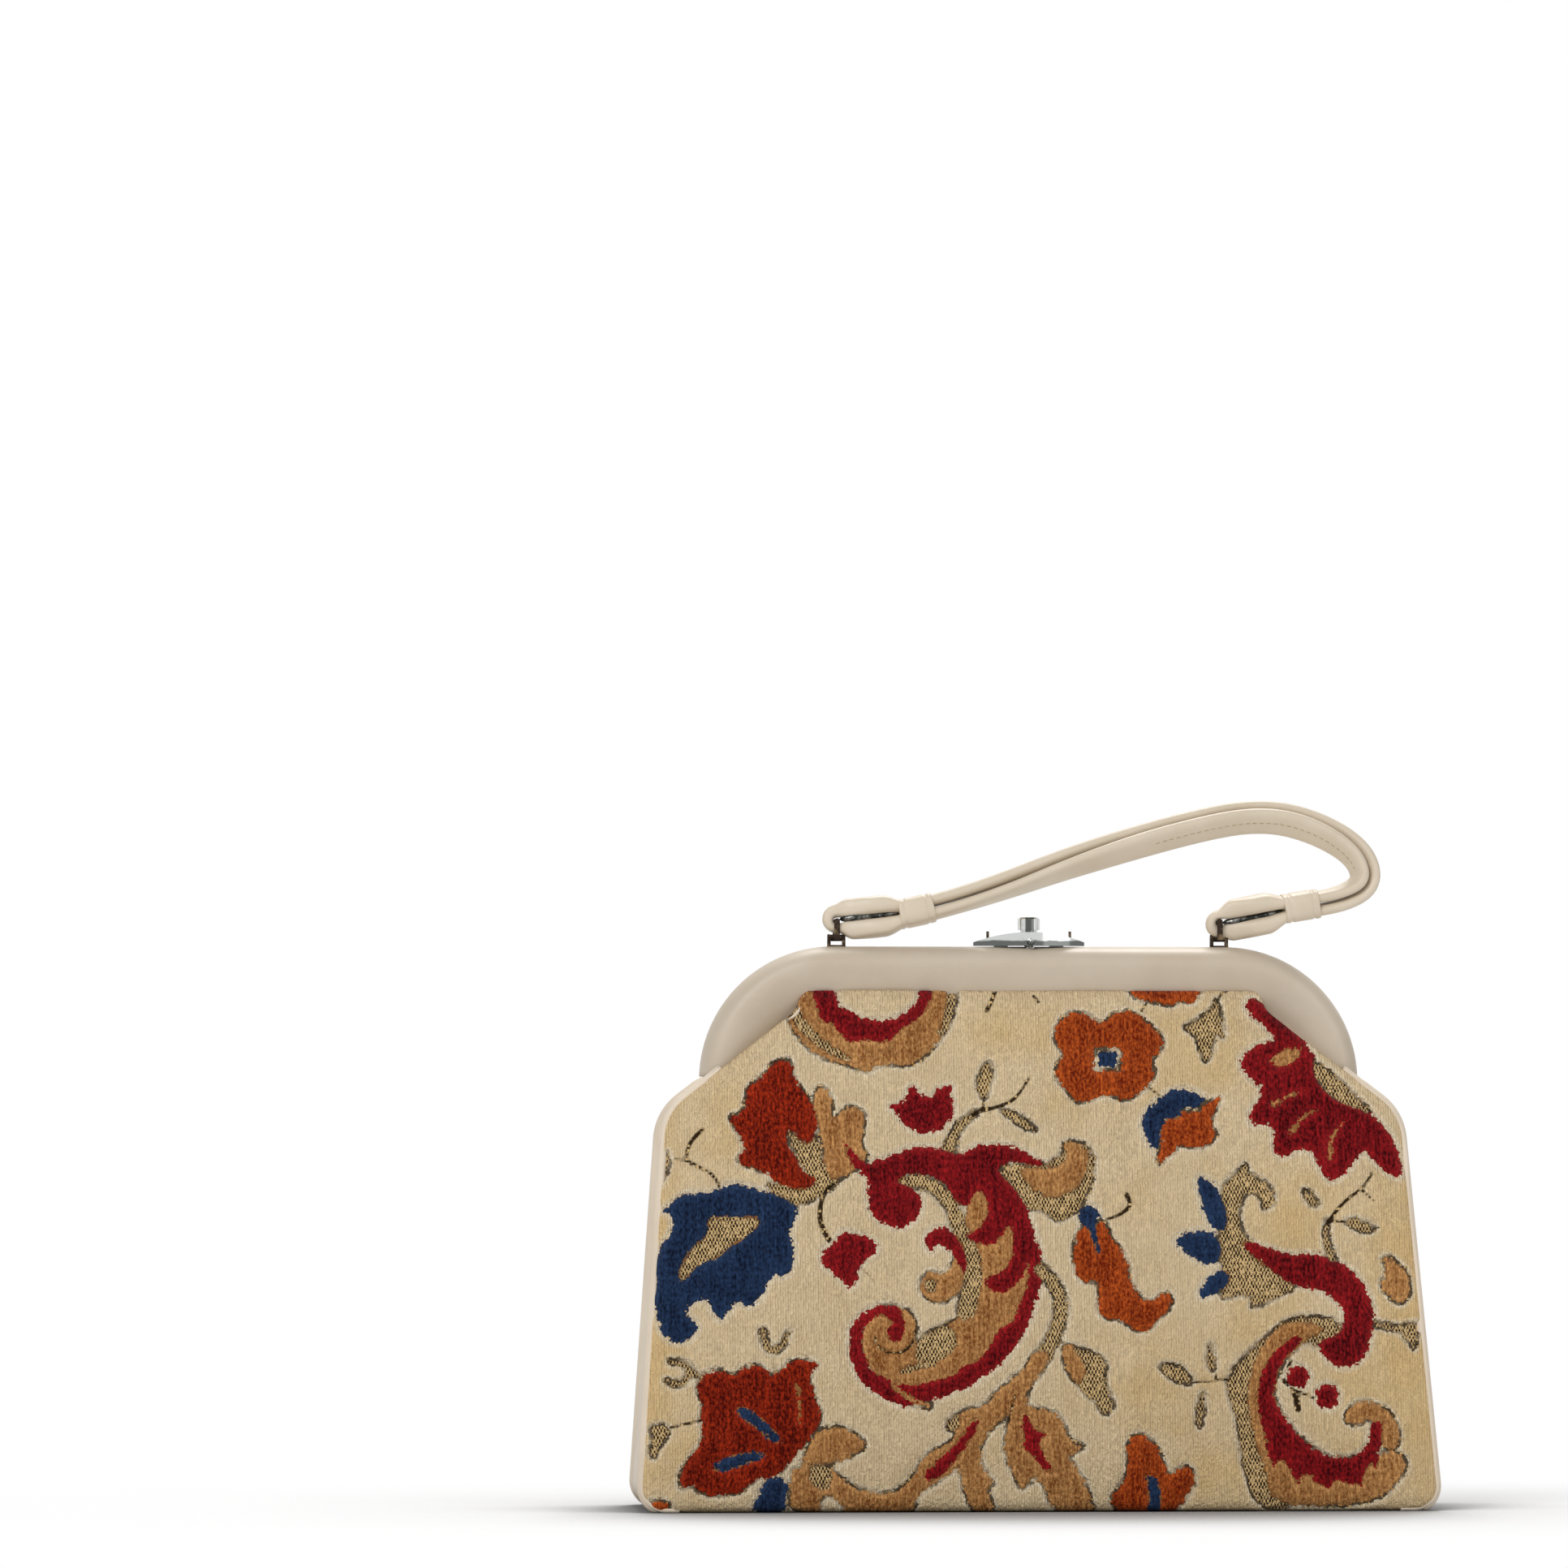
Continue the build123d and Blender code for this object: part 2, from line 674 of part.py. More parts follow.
navy_fields = [
    patch(
        (806, 1520), (830, 1478), (880, 1490), (905, 1462), (930, 1490), (980, 1480), (970, 1520), (982, 1556),
        (940, 1570), (930, 1610), (900, 1620), (880, 1600), (860, 1612), (858, 1650), (836, 1656), (822, 1640),
        (840, 1600), (815, 1575), (826, 1550),
    ),
    patch(
        (1482, 1455), (1500, 1470), (1500, 1510), (1519, 1530), (1500, 1545), (1515, 1575), (1500, 1602),
        (1484, 1590), (1486, 1562), (1460, 1560), (1453, 1540), (1480, 1528), (1476, 1490),
    ),
    patch((1412, 1392), (1418, 1360), (1440, 1345), (1482, 1350), (1454, 1372), (1432, 1402)),
    patch((1332, 1496), (1358, 1500), (1358, 1524), (1336, 1530)),
]
flower_eye = patch((1354, 1290), (1381, 1290), (1381, 1317), (1354, 1317))
lily_strokes = [
    patch((914, 1738), (930, 1740), (956, 1776), (940, 1774)),
    patch((893, 1796), (940, 1785), (938, 1800), (888, 1811)),
]
orange_fields = [
    patch(
        (955, 1302), (978, 1340), (1010, 1350), (990, 1380), (1015, 1420), (985, 1440), (975, 1467), (940, 1440),
        (915, 1430), (925, 1400), (899, 1378), (930, 1360), (938, 1330),
    ),
    disc((1340, 1276), petal_pixels),
    disc((1396, 1276), petal_pixels),
    disc((1340, 1330), lower_petal_pixels),
    disc((1396, 1330), lower_petal_pixels),
    patch((1330, 1270), (1404, 1270), (1404, 1336), (1330, 1336)),
    patch(
        (1442, 1398), (1462, 1380), (1490, 1358), (1506, 1365), (1480, 1385), (1505, 1400), (1478, 1412),
        (1470, 1434), (1445, 1422),
    ),
    patch(
        (1337, 1536), (1362, 1530), (1385, 1560), (1395, 1600), (1446, 1608), (1420, 1643), (1370, 1640),
        (1340, 1600), (1324, 1570),
    ),
    patch(
        (850, 1700), (905, 1690), (930, 1700), (990, 1680), (1000, 1720), (975, 1745), (1015, 1770), (980, 1815),
        (930, 1820), (880, 1842), (842, 1835), (860, 1790), (840, 1760),
    ),
    patch(
        (1405, 1772), (1425, 1795), (1455, 1800), (1473, 1830), (1455, 1858), (1385, 1858), (1367, 1838),
        (1390, 1815),
    ),
]
tan_fields = [
    disc((1078, 1225), half_flower_pixels, half_flower_gap_pixels),
    patch((1018, 1352), (1040, 1338), (1054, 1366), (1042, 1382), (1022, 1390)),
    tendril(inner_scroll_pixels, (1218, 1496), (1246, 1560), (1208, 1640), (1120, 1690)),
    tendril(stem_pixels, (1300, 1440), (1334, 1426), (1342, 1456), (1326, 1484)),
    tendril(bottom_stem_pixels, (1300, 1660), (1215, 1752), (1130, 1806), (1030, 1846)),
    tendril(stem_pixels, (1250, 1750), (1272, 1800), (1330, 1836)),
    tendril(stem_pixels, (1542, 1650), (1518, 1730), (1534, 1812)),
]


def pile_layer(face_plane, fields, holes, low, high):
    """Return one colour's pile on a panel, between two heights, inside the panel's hem."""
    with BuildPart() as layer:
        with BuildSketch(face_plane):
            for field in fields:
                add(field)
            for hole in holes:
                add(hole, mode=Mode.SUBTRACT)
        extrude(amount=pile_height)
        with BuildSketch(Plane.XZ):
            add(body_outline(pile_margin))
        extrude(amount=base_depth, both=True, mode=Mode.INTERSECT)
        split(bisect_by=level(low), keep=Keep.TOP)
        split(bisect_by=level(high), keep=Keep.BOTTOM)
    return layer.part


# Raised pile on the front, by colour and stretch of the panel, and on the whole of the back
pile_colours = {
    "crimson": (crimson_fields, []),
    "navy": (navy_fields + [flower_eye] + lily_strokes, []),
    "orange": (orange_fields, [flower_eye] + lily_strokes),
    "tan": (tan_fields, []),
}
for colour, (fields, holes) in pile_colours.items():
    finish(pile_layer(front_face, fields, holes, 0, fold_low), f"pile_{colour}")
    finish(pile_layer(front_face, fields, holes, fold_low, fold_high), f"fold_pile_{colour}")
    finish(pile_layer(back_face, fields, holes, 0, frame_top), f"back_pile_{colour}")
    if colour != "navy":
        finish(pile_layer(front_face, fields, holes, fold_high, frame_top), f"mouth_pile_{colour}")
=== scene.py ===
"""Looks of a cut-pile carpet bag with a leather-covered frame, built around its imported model.

Lengths are millimetres until grid_form turns them into metres.
"""

import logging
import math
from dataclasses import dataclass
from enum import Enum
from typing import Any, Callable, Sequence

import bmesh
import bpy
import numpy as np
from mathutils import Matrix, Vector


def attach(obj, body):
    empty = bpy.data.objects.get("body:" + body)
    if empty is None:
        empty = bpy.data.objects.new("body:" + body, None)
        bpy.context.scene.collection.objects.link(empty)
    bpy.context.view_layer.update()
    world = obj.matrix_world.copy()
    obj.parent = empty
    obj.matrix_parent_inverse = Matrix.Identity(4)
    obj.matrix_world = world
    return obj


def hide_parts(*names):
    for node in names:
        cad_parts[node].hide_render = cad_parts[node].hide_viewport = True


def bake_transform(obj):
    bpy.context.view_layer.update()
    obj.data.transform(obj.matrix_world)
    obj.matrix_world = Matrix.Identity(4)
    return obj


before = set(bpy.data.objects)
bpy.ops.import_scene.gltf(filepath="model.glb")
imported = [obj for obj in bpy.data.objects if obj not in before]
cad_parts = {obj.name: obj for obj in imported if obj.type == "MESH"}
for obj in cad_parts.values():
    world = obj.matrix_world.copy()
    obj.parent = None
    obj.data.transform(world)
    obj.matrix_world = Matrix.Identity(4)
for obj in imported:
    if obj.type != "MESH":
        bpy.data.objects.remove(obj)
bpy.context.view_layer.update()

LOG = logging.getLogger("carpet_bag")
MM = 0.001
Pair = tuple[float, float]
Colour = tuple[float, float, float]
Place = Callable[[np.ndarray, np.ndarray], np.ndarray]
WELD = 1e-7
BAG_MIDDLE = Vector((0.0, 0.0, 0.09))


class Dye(Enum):
    """Dyes and weaves of the carpet, named as the attributes that carry them."""

    GROUND = "ground"
    CRIMSON = "crimson"
    RUST = "rust"
    ORANGE = "orange"
    NAVY = "navy"
    TAN = "tan"
    HATCH = "hatch"
    LINE = "line"


class Side(Enum):
    """Sides of the bag, as the sign of their x."""

    LEFT = -1
    RIGHT = 1


class Face(Enum):
    """The two carpet faces, as the sign of their outward y."""

    FRONT = -1
    BACK = 1

    @property
    def half(self) -> str:
        """Return what the frame's half on this face is called."""
        return "front" if self is Face.FRONT else "rear"

    @property
    def cover(self) -> str:
        """Return the node of the leather over that half."""
        return f"{self.half}_frame_cover"


def linear(red: int, green: int, blue: int) -> Colour:
    """Return a screen colour from 0 to 255 as the linear colour that a shader takes.

    Args:
        red, green, blue: the screen colour.

    Returns:
        The linear colour.
    """
    shares = (value / 255 for value in (red, green, blue))
    return tuple(s / 12.92 if s <= 0.04045 else ((s + 0.055) / 1.055) ** 2.4 for s in shares)


def smooth(low: float, high: float, value: np.ndarray) -> np.ndarray:
    """Return a soft step of an array from 0 at low to 1 at high."""
    t = np.clip((value - low) / (high - low), 0, 1)
    return t * t * (3 - 2 * t)


def signed_power(value: np.ndarray, exponent: float) -> np.ndarray:
    """Return an array raised to an exponent, with its signs kept."""
    return np.sign(value) * np.abs(value) ** exponent


def mixed(ends: tuple[float, float], share: np.ndarray) -> np.ndarray:
    """Return the values between two ends at shares from 0 to 1."""
    return ends[0] + (ends[1] - ends[0]) * share


def unit(vector: np.ndarray) -> np.ndarray:
    """Return a flat vector's direction, with a length of one."""
    return vector / np.hypot(*vector)


class Wire:
    """A shader socket that takes part in Python sums."""

    def __init__(self, shader: "Shader", socket: bpy.types.NodeSocket) -> None:
        """Keep the shader and the output socket that this wire comes from."""
        self.shader, self.socket = shader, socket

    def _math(self, operation: str, *values: Any) -> "Wire":
        """Return the outcome of a Math node on values."""
        return self.shader.node("ShaderNodeMath", {"operation": operation}, dict(enumerate(values)))

    def __add__(self, other: Any) -> "Wire":
        """Return the sum."""
        return self._math("ADD", self, other)

    __radd__ = __add__

    def __mul__(self, other: Any) -> "Wire":
        """Return the product."""
        return self._math("MULTIPLY", self, other)

    __rmul__ = __mul__

    def __sub__(self, other: Any) -> "Wire":
        """Return the difference."""
        return self._math("SUBTRACT", self, other)

    def __rsub__(self, other: Any) -> "Wire":
        """Return the difference, the other way round."""
        return self._math("SUBTRACT", other, self)

    def __abs__(self) -> "Wire":
        """Return the size without its sign."""
        return self._math("ABSOLUTE", self)

    def sine(self) -> "Wire":
        """Return the sine."""
        return self._math("SINE", self)

    def larger(self, other: Any) -> "Wire":
        """Return the larger of the two."""
        return self._math("MAXIMUM", self, other)

    def step(self, low: float, high: float) -> "Wire":
        """Return a soft step, 0 at low and 1 at high, which may be the lower of the two."""
        return self.shader.node(
            "ShaderNodeMapRange",
            {"interpolation_type": "SMOOTHSTEP"},
            {"Value": self, "From Min": low, "From Max": high, "To Min": 0.0, "To Max": 1.0},
        )


class Shader:
    """A material or a world under construction, with one method for each kind of step."""

    def __init__(self, name: str, world: bool = False) -> None:
        """Start an empty material or world.

        Args:
            name: its name.
            world: whether it is a world.
        """
        self.owner = (bpy.data.worlds if world else bpy.data.materials).new(name)
        self.owner.use_nodes = True
        self.tree = self.owner.node_tree
        self.tree.nodes.clear()

    def node(
        self, kind: str, settings: dict[str, Any] | None = None, inputs: dict[Any, Any] | None = None, out: Any = 0
    ) -> Wire:
        """Add a node.

        Args:
            kind: the node's type.
            settings: properties that are set first.
            inputs: values or wires by socket name or number.
            out: the output that is wanted.

        Returns:
            The wire from that output.
        """
        made = self.tree.nodes.new(kind)
        for key, value in (settings or {}).items():
            setattr(made, key, value)
        for key, value in (inputs or {}).items():
            if isinstance(value, Wire):
                self.tree.links.new(value.socket, made.inputs[key])
            else:
                socket = made.inputs[key]
                if isinstance(value, tuple) and socket.type == "RGBA":
                    value = (*value, 1.0)[:4]
                socket.default_value = value
        return Wire(self, made.outputs[out]) if made.outputs else Wire(self, made.inputs[0])

    def millimetres(self, stretch: tuple[float, float, float] = (1.0, 1.0, 1.0)) -> Wire:
        """Return the object's coordinates in millimetres, with each axis stretched."""
        scale = tuple(1000.0 * share for share in stretch)
        coords = self.node("ShaderNodeTexCoord", out="Object")
        return self.node("ShaderNodeVectorMath", {"operation": "MULTIPLY"}, {0: coords, 1: scale})

    def split(self, vector: Wire) -> tuple[Wire, ...]:
        """Return a vector's three parts."""
        parts = self.node("ShaderNodeSeparateXYZ", inputs={0: vector}).socket.node.outputs
        return tuple(Wire(self, part) for part in parts)

    def noise(self, vector: Wire, scale: float, detail: float = 2.0, roughness: float = 0.5) -> Wire:
        """Return a noise of so many waves a millimetre."""
        return self.node(
            "ShaderNodeTexNoise", inputs={"Vector": vector, "Scale": scale, "Detail": detail, "Roughness": roughness}
        )

    def mix(self, factor: Any, first: Any, second: Any) -> Wire:
        """Return a mix of two colours."""
        settings = {"data_type": "RGBA", "blend_type": "MIX"}
        return self.node("ShaderNodeMix", settings, {0: factor, 6: first, 7: second}, 2)

    def attribute(self, name: str) -> Wire:
        """Return a number that the mesh carries."""
        return self.node("ShaderNodeAttribute", {"attribute_name": name}, out="Fac")

    def finish(self, bump: Wire, depth: float, strength: float, **sockets: Any) -> bpy.types.Material:
        """Close the material with a Principled shader.

        Args:
            bump: the height of the surface's fine relief.
            depth: the relief's depth in metres.
            strength: the relief's strength.
            sockets: values or wires, with a space in a socket's name written as an underscore.

        Returns:
            The finished material.
        """
        inputs = {key.replace("_", " "): value for key, value in sockets.items()}
        relief = {"Height": bump, "Distance": depth, "Strength": strength}
        inputs["Normal"] = self.node("ShaderNodeBump", inputs=relief)
        surface = self.node("ShaderNodeBsdfPrincipled", inputs=inputs)
        self.node("ShaderNodeOutputMaterial", inputs={"Surface": surface})
        return self.owner


@dataclass(frozen=True)
class Shade:
    """One dye's pile: its light and deep colours, and how strongly its tufts speckle it."""

    dye: Dye
    light: Colour
    deep: Colour
    speckle: float


@dataclass(frozen=True)
class CarpetFinish:
    """Cut pile in several dyes over flat-woven voids, with its pitches in millimetres."""

    rib: float = 0.9
    hatch: float = 1.2
    knot: float = 0.8
    cream: Colour = linear(236, 213, 174)
    gold: Colour = linear(232, 200, 146)
    rim_highlight: Colour = linear(252, 239, 212)
    shadow: Colour = linear(176, 142, 90)
    straw: Colour = linear(230, 196, 140)
    brown: Colour = linear(54, 38, 20)
    seam: Colour = linear(158, 108, 62)
    lining: tuple[Colour, Colour] = (linear(214, 196, 164), linear(186, 164, 128))
    lining_pitch: float = 0.6
    shades: tuple[Shade, ...] = (
        Shade(Dye.TAN, linear(229, 171, 107), linear(128, 74, 32), 0.65),
        Shade(Dye.ORANGE, linear(220, 102, 40), linear(112, 30, 4), 0.75),
        Shade(Dye.RUST, linear(196, 58, 24), linear(80, 8, 2), 0.8),
        Shade(Dye.CRIMSON, linear(181, 33, 38), linear(58, 0, 4), 0.68),
        Shade(Dye.NAVY, linear(48, 72, 110), linear(10, 20, 42), 0.65),
    )
    pile_depth: float = 0.0012

    def material(self) -> bpy.types.Material:
        """Make the carpet's material, which reads the dyes' distances from the mesh.

        Returns:
            The material.
        """
        s = Shader("carpet_pile")
        place = s.millimetres((1.0, 0.0, 1.0))
        across, _, up = s.split(place)

        def cells(size: float) -> Wire:
            """Return a chance value for each small square of the weave."""
            snapped = s.node("ShaderNodeVectorMath", {"operation": "SNAP"}, {0: place, 1: (size, 1.0, size)})
            return s.node("ShaderNodeTexWhiteNoise", {"noise_dimensions": "3D"}, {"Vector": snapped})

        # Unevenness that all the dyes share
        ragged = (cells(self.knot) - 0.5) * 0.9 + (s.noise(place, 0.38, 2.0, 0.65) - 0.5) * 3.6
        tuft = s.noise(s.millimetres((1.0, 0.0, 0.6)), 1.1, 2.0, 0.6).step(0.28, 0.72)
        streak = s.noise(s.millimetres((1.0, 0.0, 0.09)), 0.7, 2.0, 0.6).step(0.32, 0.68)
        nap = s.noise(place, 0.06, 3.0, 0.6)
        rib = (across * (math.tau / self.rib) + s.noise(place, 0.2) * 2.0).sine() * 0.5 + 0.5

        def mask(dye: Dye, soft: float = 0.2, rough: float = 1.0) -> Wire:
            """Return 1 inside a dye's field and 0 outside it."""
            return (s.attribute(dye.value) + ragged * rough).step(soft, -soft)

        # Cream ground, golden in soft patches, with a highlight painted along the motifs and shade painted in its ribs
        # and between its tufts
        gold = (s.attribute("gold") + (nap - 0.5) * 0.8).step(0.08, 0.95)
        motif = s.attribute("motif")
        # Painted highlight near the edge of each dye's field, used below to lighten the pile there
        rim = motif.step(-2.8, -0.6)
        ground = s.mix(gold, self.cream, self.gold)
        # Painted highlight: the ground is lighter along the motifs' edges
        ground = s.mix(motif.step(2.6, 0.7) * (0.35 + tuft * 0.6), ground, self.rim_highlight)
        ground = s.mix(rib * 0.26 + (1.0 - tuft) * 0.17 + (nap - 0.5) * 0.4, ground, self.shadow)
        # Dyed pile over a colour that closes the gaps between touching dyes
        body = s.attribute("body")
        colour = s.mix((body + ragged).step(0.2, -0.2), ground, self.seam)
        for shade in self.shades:
            # Tufts, streaks and nap vary the dye's tone; the painted highlight lightens it near its field's edge
            deep = (1.0 - tuft) * shade.speckle + streak * 0.32 + (nap - 0.5) * 0.7 + 0.14 - rim * 0.24
            colour = s.mix(mask(shade.dye), colour, s.mix(deep, shade.light, shade.deep))
        # Flat-woven voids in straw and brown
        parity = s.node("ShaderNodeMath", {"operation": "PINGPONG"}, {0: up * (1.0 / self.hatch), 1: 1.0})
        weave = (across * (math.tau / self.hatch) + parity.step(0.45, 0.55) * math.pi).sine()
        dash = (weave * 0.5 + 0.5 + (cells(self.knot * 0.8) - 0.5) * 0.9).step(0.54, 0.7)
        hatch = mask(Dye.HATCH)
        colour = s.mix(hatch, colour, s.mix(dash, self.straw, self.brown))
        # Worn dark rows along the edges, and the drawn lines
        worn = 0.25 + s.noise(place, 0.11, 2.0).step(0.4, 0.56) * 0.75
        edge = abs(body + ragged * 0.7 - 0.3).step(0.6, 0.34) * s.attribute("edged").step(1.7, 1.0) * worn
        line = mask(Dye.LINE, 0.25, 0.14)
        rows = (edge * 0.9).larger(line)
        dots = cells(self.knot).step(0.04, 0.26)
        colour = s.mix(rows, colour, s.mix(dots, self.straw, self.brown))
        # Relief, and plain cloth on the inner side
        bank = abs(motif + ragged).step(1.3, 0.0)
        height = tuft * 0.55 + rib * 0.3 + streak * 0.2 - hatch * (0.7 + dash * 0.3) - rows * 0.5 - bank * 0.55
        lined = s.attribute("inside").step(0.55, 0.9)
        turns = math.tau / self.lining_pitch
        cloth = (across * turns).sine() * (up * turns).sine() * 0.5 + 0.5
        colour = s.mix(lined, colour, s.mix(cloth * 0.6 + nap * 0.4, *self.lining))
        height = height * (1.0 - lined) + cloth * lined * 0.2
        return s.finish(
            height, self.pile_depth, 0.9, Base_Color=colour, Roughness=0.92, Sheen_Weight=0.05, Sheen_Roughness=0.45,
            Specular_IOR_Level=0.05,
        )


@dataclass(frozen=True)
class LeatherFinish:
    """Smooth cream leather with a fine grain and a few darker worn spots."""

    name: str
    light: Colour = linear(226, 211, 190)
    shade: Colour = linear(208, 192, 169)
    worn: Colour = linear(186, 170, 146)
    roughness: float = 0.4

    def material(self) -> bpy.types.Material:
        """Make the leather's material.

        Returns:
            The material.
        """
        s = Shader(self.name)
        place = s.millimetres()
        blotch = s.noise(place, 0.035, 4.0, 0.6)
        grain = s.node("ShaderNodeTexVoronoi", {"feature": "F1"}, {"Vector": place, "Scale": 1.6})
        crease = s.noise(s.millimetres((0.4, 1.0, 1.0)), 0.9, 4.0, 0.65)
        colour = s.mix(blotch.step(0.3, 0.75) * 0.5, self.light, self.shade)
        colour = s.mix(s.noise(place, 0.25, 3.0).step(0.6, 0.8) * 0.1, colour, self.worn)
        rough = self.roughness + (blotch - 0.5) * 0.22 + crease * 0.08
        return s.finish(
            grain * 0.6 + crease * 0.5, 0.0002, 0.2, Base_Color=colour, Roughness=rough, Specular_IOR_Level=0.4
        )


@dataclass(frozen=True)
class MetalFinish:
    """Plated metal, bright or tarnished."""

    name: str
    bright: Colour
    dull: Colour
    polish: float
    wear: float

    def material(self) -> bpy.types.Material:
        """Make the metal's material.

        Returns:
            The material.
        """
        s = Shader(self.name)
        place = s.millimetres()
        stain = s.noise(place, 0.35, 5.0, 0.65).step(0.7 - self.wear * 0.45, 0.8 - self.wear * 0.3)
        smear = s.noise(s.millimetres((0.3, 1.0, 1.0)), 0.8, 3.0)
        colour = s.mix(stain, self.bright, self.dull)
        rough = self.polish + stain * 0.25 + smear * 0.08
        metallic = 1.0 - stain * self.wear * 0.4
        return s.finish(s.noise(place, 1.2, 3.0), 0.0001, 0.12, Base_Color=colour, Roughness=rough, Metallic=metallic)


@dataclass(frozen=True)
class ChromeFinish:
    """Old bright chrome, with a dark reflection painted low on the plate and down the knob's middle."""

    name: str = "clasp_chrome"
    bright: Colour = linear(208, 210, 208)
    # Colour of the painted dark reflection
    dark: Colour = linear(58, 62, 58)
    plate: tuple[float, float] = (203.0, 202.3)
    knob: tuple[float, float] = (1.9, 1.3)
    knob_foot: float = 205.4
    frame_top: tuple[float, float] = (198.0, 199.0)

    def material(self) -> bpy.types.Material:
        """Make the chrome's material.

        Returns:
            The material.
        """
        s = Shader(self.name)
        place = s.millimetres()
        across, _, up = s.split(place)
        # Dark reflection painted low on the plate above the frame's top and down the knob's middle; the stains are
        # real
        low = (up + (s.noise(place, 0.25) - 0.5) * 1.2).step(*self.plate) * up.step(*self.frame_top)
        middle = abs(across).step(*self.knob) * up.step(self.knob_foot, self.knob_foot + 0.5)
        stain = s.noise(place, 0.5, 4.0).step(0.62, 0.8) * 0.3
        shade = (low * 0.85).larger(middle * 0.9)
        colour = s.mix(shade + stain * (1.0 - shade), self.bright, self.dark)
        rough = 0.1 + stain * 0.4
        return s.finish(s.noise(place, 1.2, 3.0), 0.0001, 0.08, Base_Color=colour, Roughness=rough, Metallic=1.0)


@dataclass(frozen=True)
class WovenFinish:
    """Plain weave: lining cloth, board paper or sewing thread."""

    name: str
    warp: Colour
    weft: Colour
    pitch: float = 0.5

    def material(self) -> bpy.types.Material:
        """Make the weave's material.

        Returns:
            The material.
        """
        s = Shader(self.name)
        place = s.millimetres()
        across, deep, up = s.split(place)
        turns = math.tau / self.pitch
        over = (across * turns + deep * turns).sine()
        under = (up * turns + deep * (0.5 * turns)).sine()
        weave = over * under * 0.5 + 0.5
        worn = s.noise(place, 0.05, 4.0)
        colour = s.mix(weave * 0.6 + worn * 0.4, self.warp, self.weft)
        return s.finish(weave, 0.0003, 0.4, Base_Color=colour, Roughness=0.85 + worn * 0.1, Specular_IOR_Level=0.2)


def soften(points: Sequence[Pair], rounds: int, closed: bool) -> np.ndarray:
    """Cut the corners of a line a few times, which rounds it.

    Args:
        points: the line's corners.
        rounds: how many times each corner is cut.
        closed: whether the last point joins the first.

    Returns:
        The rounded line's points.
    """
    line = np.array(points, float)
    for _ in range(rounds):
        after = np.roll(line, -1, axis=0) if closed else line[1:]
        before = line if closed else line[:-1]
        cut = np.stack((before * 0.75 + after * 0.25, before * 0.25 + after * 0.75), axis=1).reshape(-1, 2)
        line = cut if closed else np.vstack((line[:1], cut[1:-1], line[-1:]))
    return line


def measured(line: np.ndarray) -> np.ndarray:
    """Return the length along a line up to each of its points."""
    return np.concatenate(([0], np.cumsum(np.hypot(*np.diff(line, axis=0).T))))


def between(places: np.ndarray, marks: np.ndarray, line: np.ndarray) -> np.ndarray:
    """Find points between those of a line.

    Args:
        places: where points are wanted.
        marks: the rising mark of each of the line's own points.
        line: those points.

    Returns:
        The points at the places.
    """
    return np.stack([np.interp(places, marks, column) for column in line.T], axis=1)


def spaced(line: np.ndarray, count: int, start: float = 0.0) -> np.ndarray:
    """Space points evenly along a line.

    Args:
        line: the line's own points.
        count: how many points are wanted.
        start: the length along the line where they begin.

    Returns:
        The points.
    """
    marks = measured(line)
    return between(np.linspace(start, marks[-1], count), marks, line)


def to_stretch(x: np.ndarray, y: np.ndarray, start: np.ndarray, end: np.ndarray) -> tuple[np.ndarray, np.ndarray]:
    """Measure points against a straight stretch of a line.

    Args:
        x, y: the points.
        start, end: the stretch's ends.

    Returns:
        The share along the stretch of the place nearest to each point, and the distance to it.
    """
    run, rise = end - start
    across, down = x - start[0], y - start[1]
    share = np.clip((across * run + down * rise) / max(run * run + rise * rise, 1e-9), 0, 1)
    return share, np.hypot(across - run * share, down - rise * share)


@dataclass(frozen=True)
class Path:
    """Evenly spaced points along a line, with the outward direction at each."""

    points: np.ndarray
    outward: np.ndarray

    @classmethod
    def through(cls, points: np.ndarray) -> "Path":
        """Make a path whose outer side is on the right of its run.

        Args:
            points: its points.

        Returns:
            The path.
        """
        ahead = np.gradient(points, axis=0)
        ahead /= np.hypot(*ahead.T)[:, None]
        return cls(points, np.stack((ahead[:, 1], -ahead[:, 0]), axis=1))

    def at(self, share: np.ndarray) -> tuple[np.ndarray, np.ndarray]:
        """Find places along the path.

        Args:
            share: shares of its run, from 0 to 1.

        Returns:
            The points and the outward directions there.
        """
        marks, places = np.arange(len(self.points)), share * (len(self.points) - 1)
        return between(places, marks, self.points), between(places, marks, self.outward)


@dataclass(frozen=True)
class Field:
    """A closed field of one dye."""

    dye: Dye
    points: Sequence[Pair]
    rounds: int = 1

    def outline(self) -> np.ndarray:
        """Return the field's rounded outline."""
        return soften(self.points, self.rounds, True)

    def distance(self, x: np.ndarray, y: np.ndarray) -> np.ndarray:
        """Measure points against the outline.

        Args:
            x, y: the points.

        Returns:
            Their distances to it, negative inside.
        """
        line = self.outline()
        nearest = np.full(x.shape, np.inf)
        inside = np.zeros(x.shape, bool)
        for start, end in zip(line, np.roll(line, -1, axis=0)):
            nearest = np.minimum(nearest, to_stretch(x, y, start, end)[1])
            run, rise = end - start
            if rise:
                inside ^= ((start[1] > y) != (end[1] > y)) & (x < run * (y - start[1]) / rise + start[0])
        return nearest * np.where(inside, -1, 1)


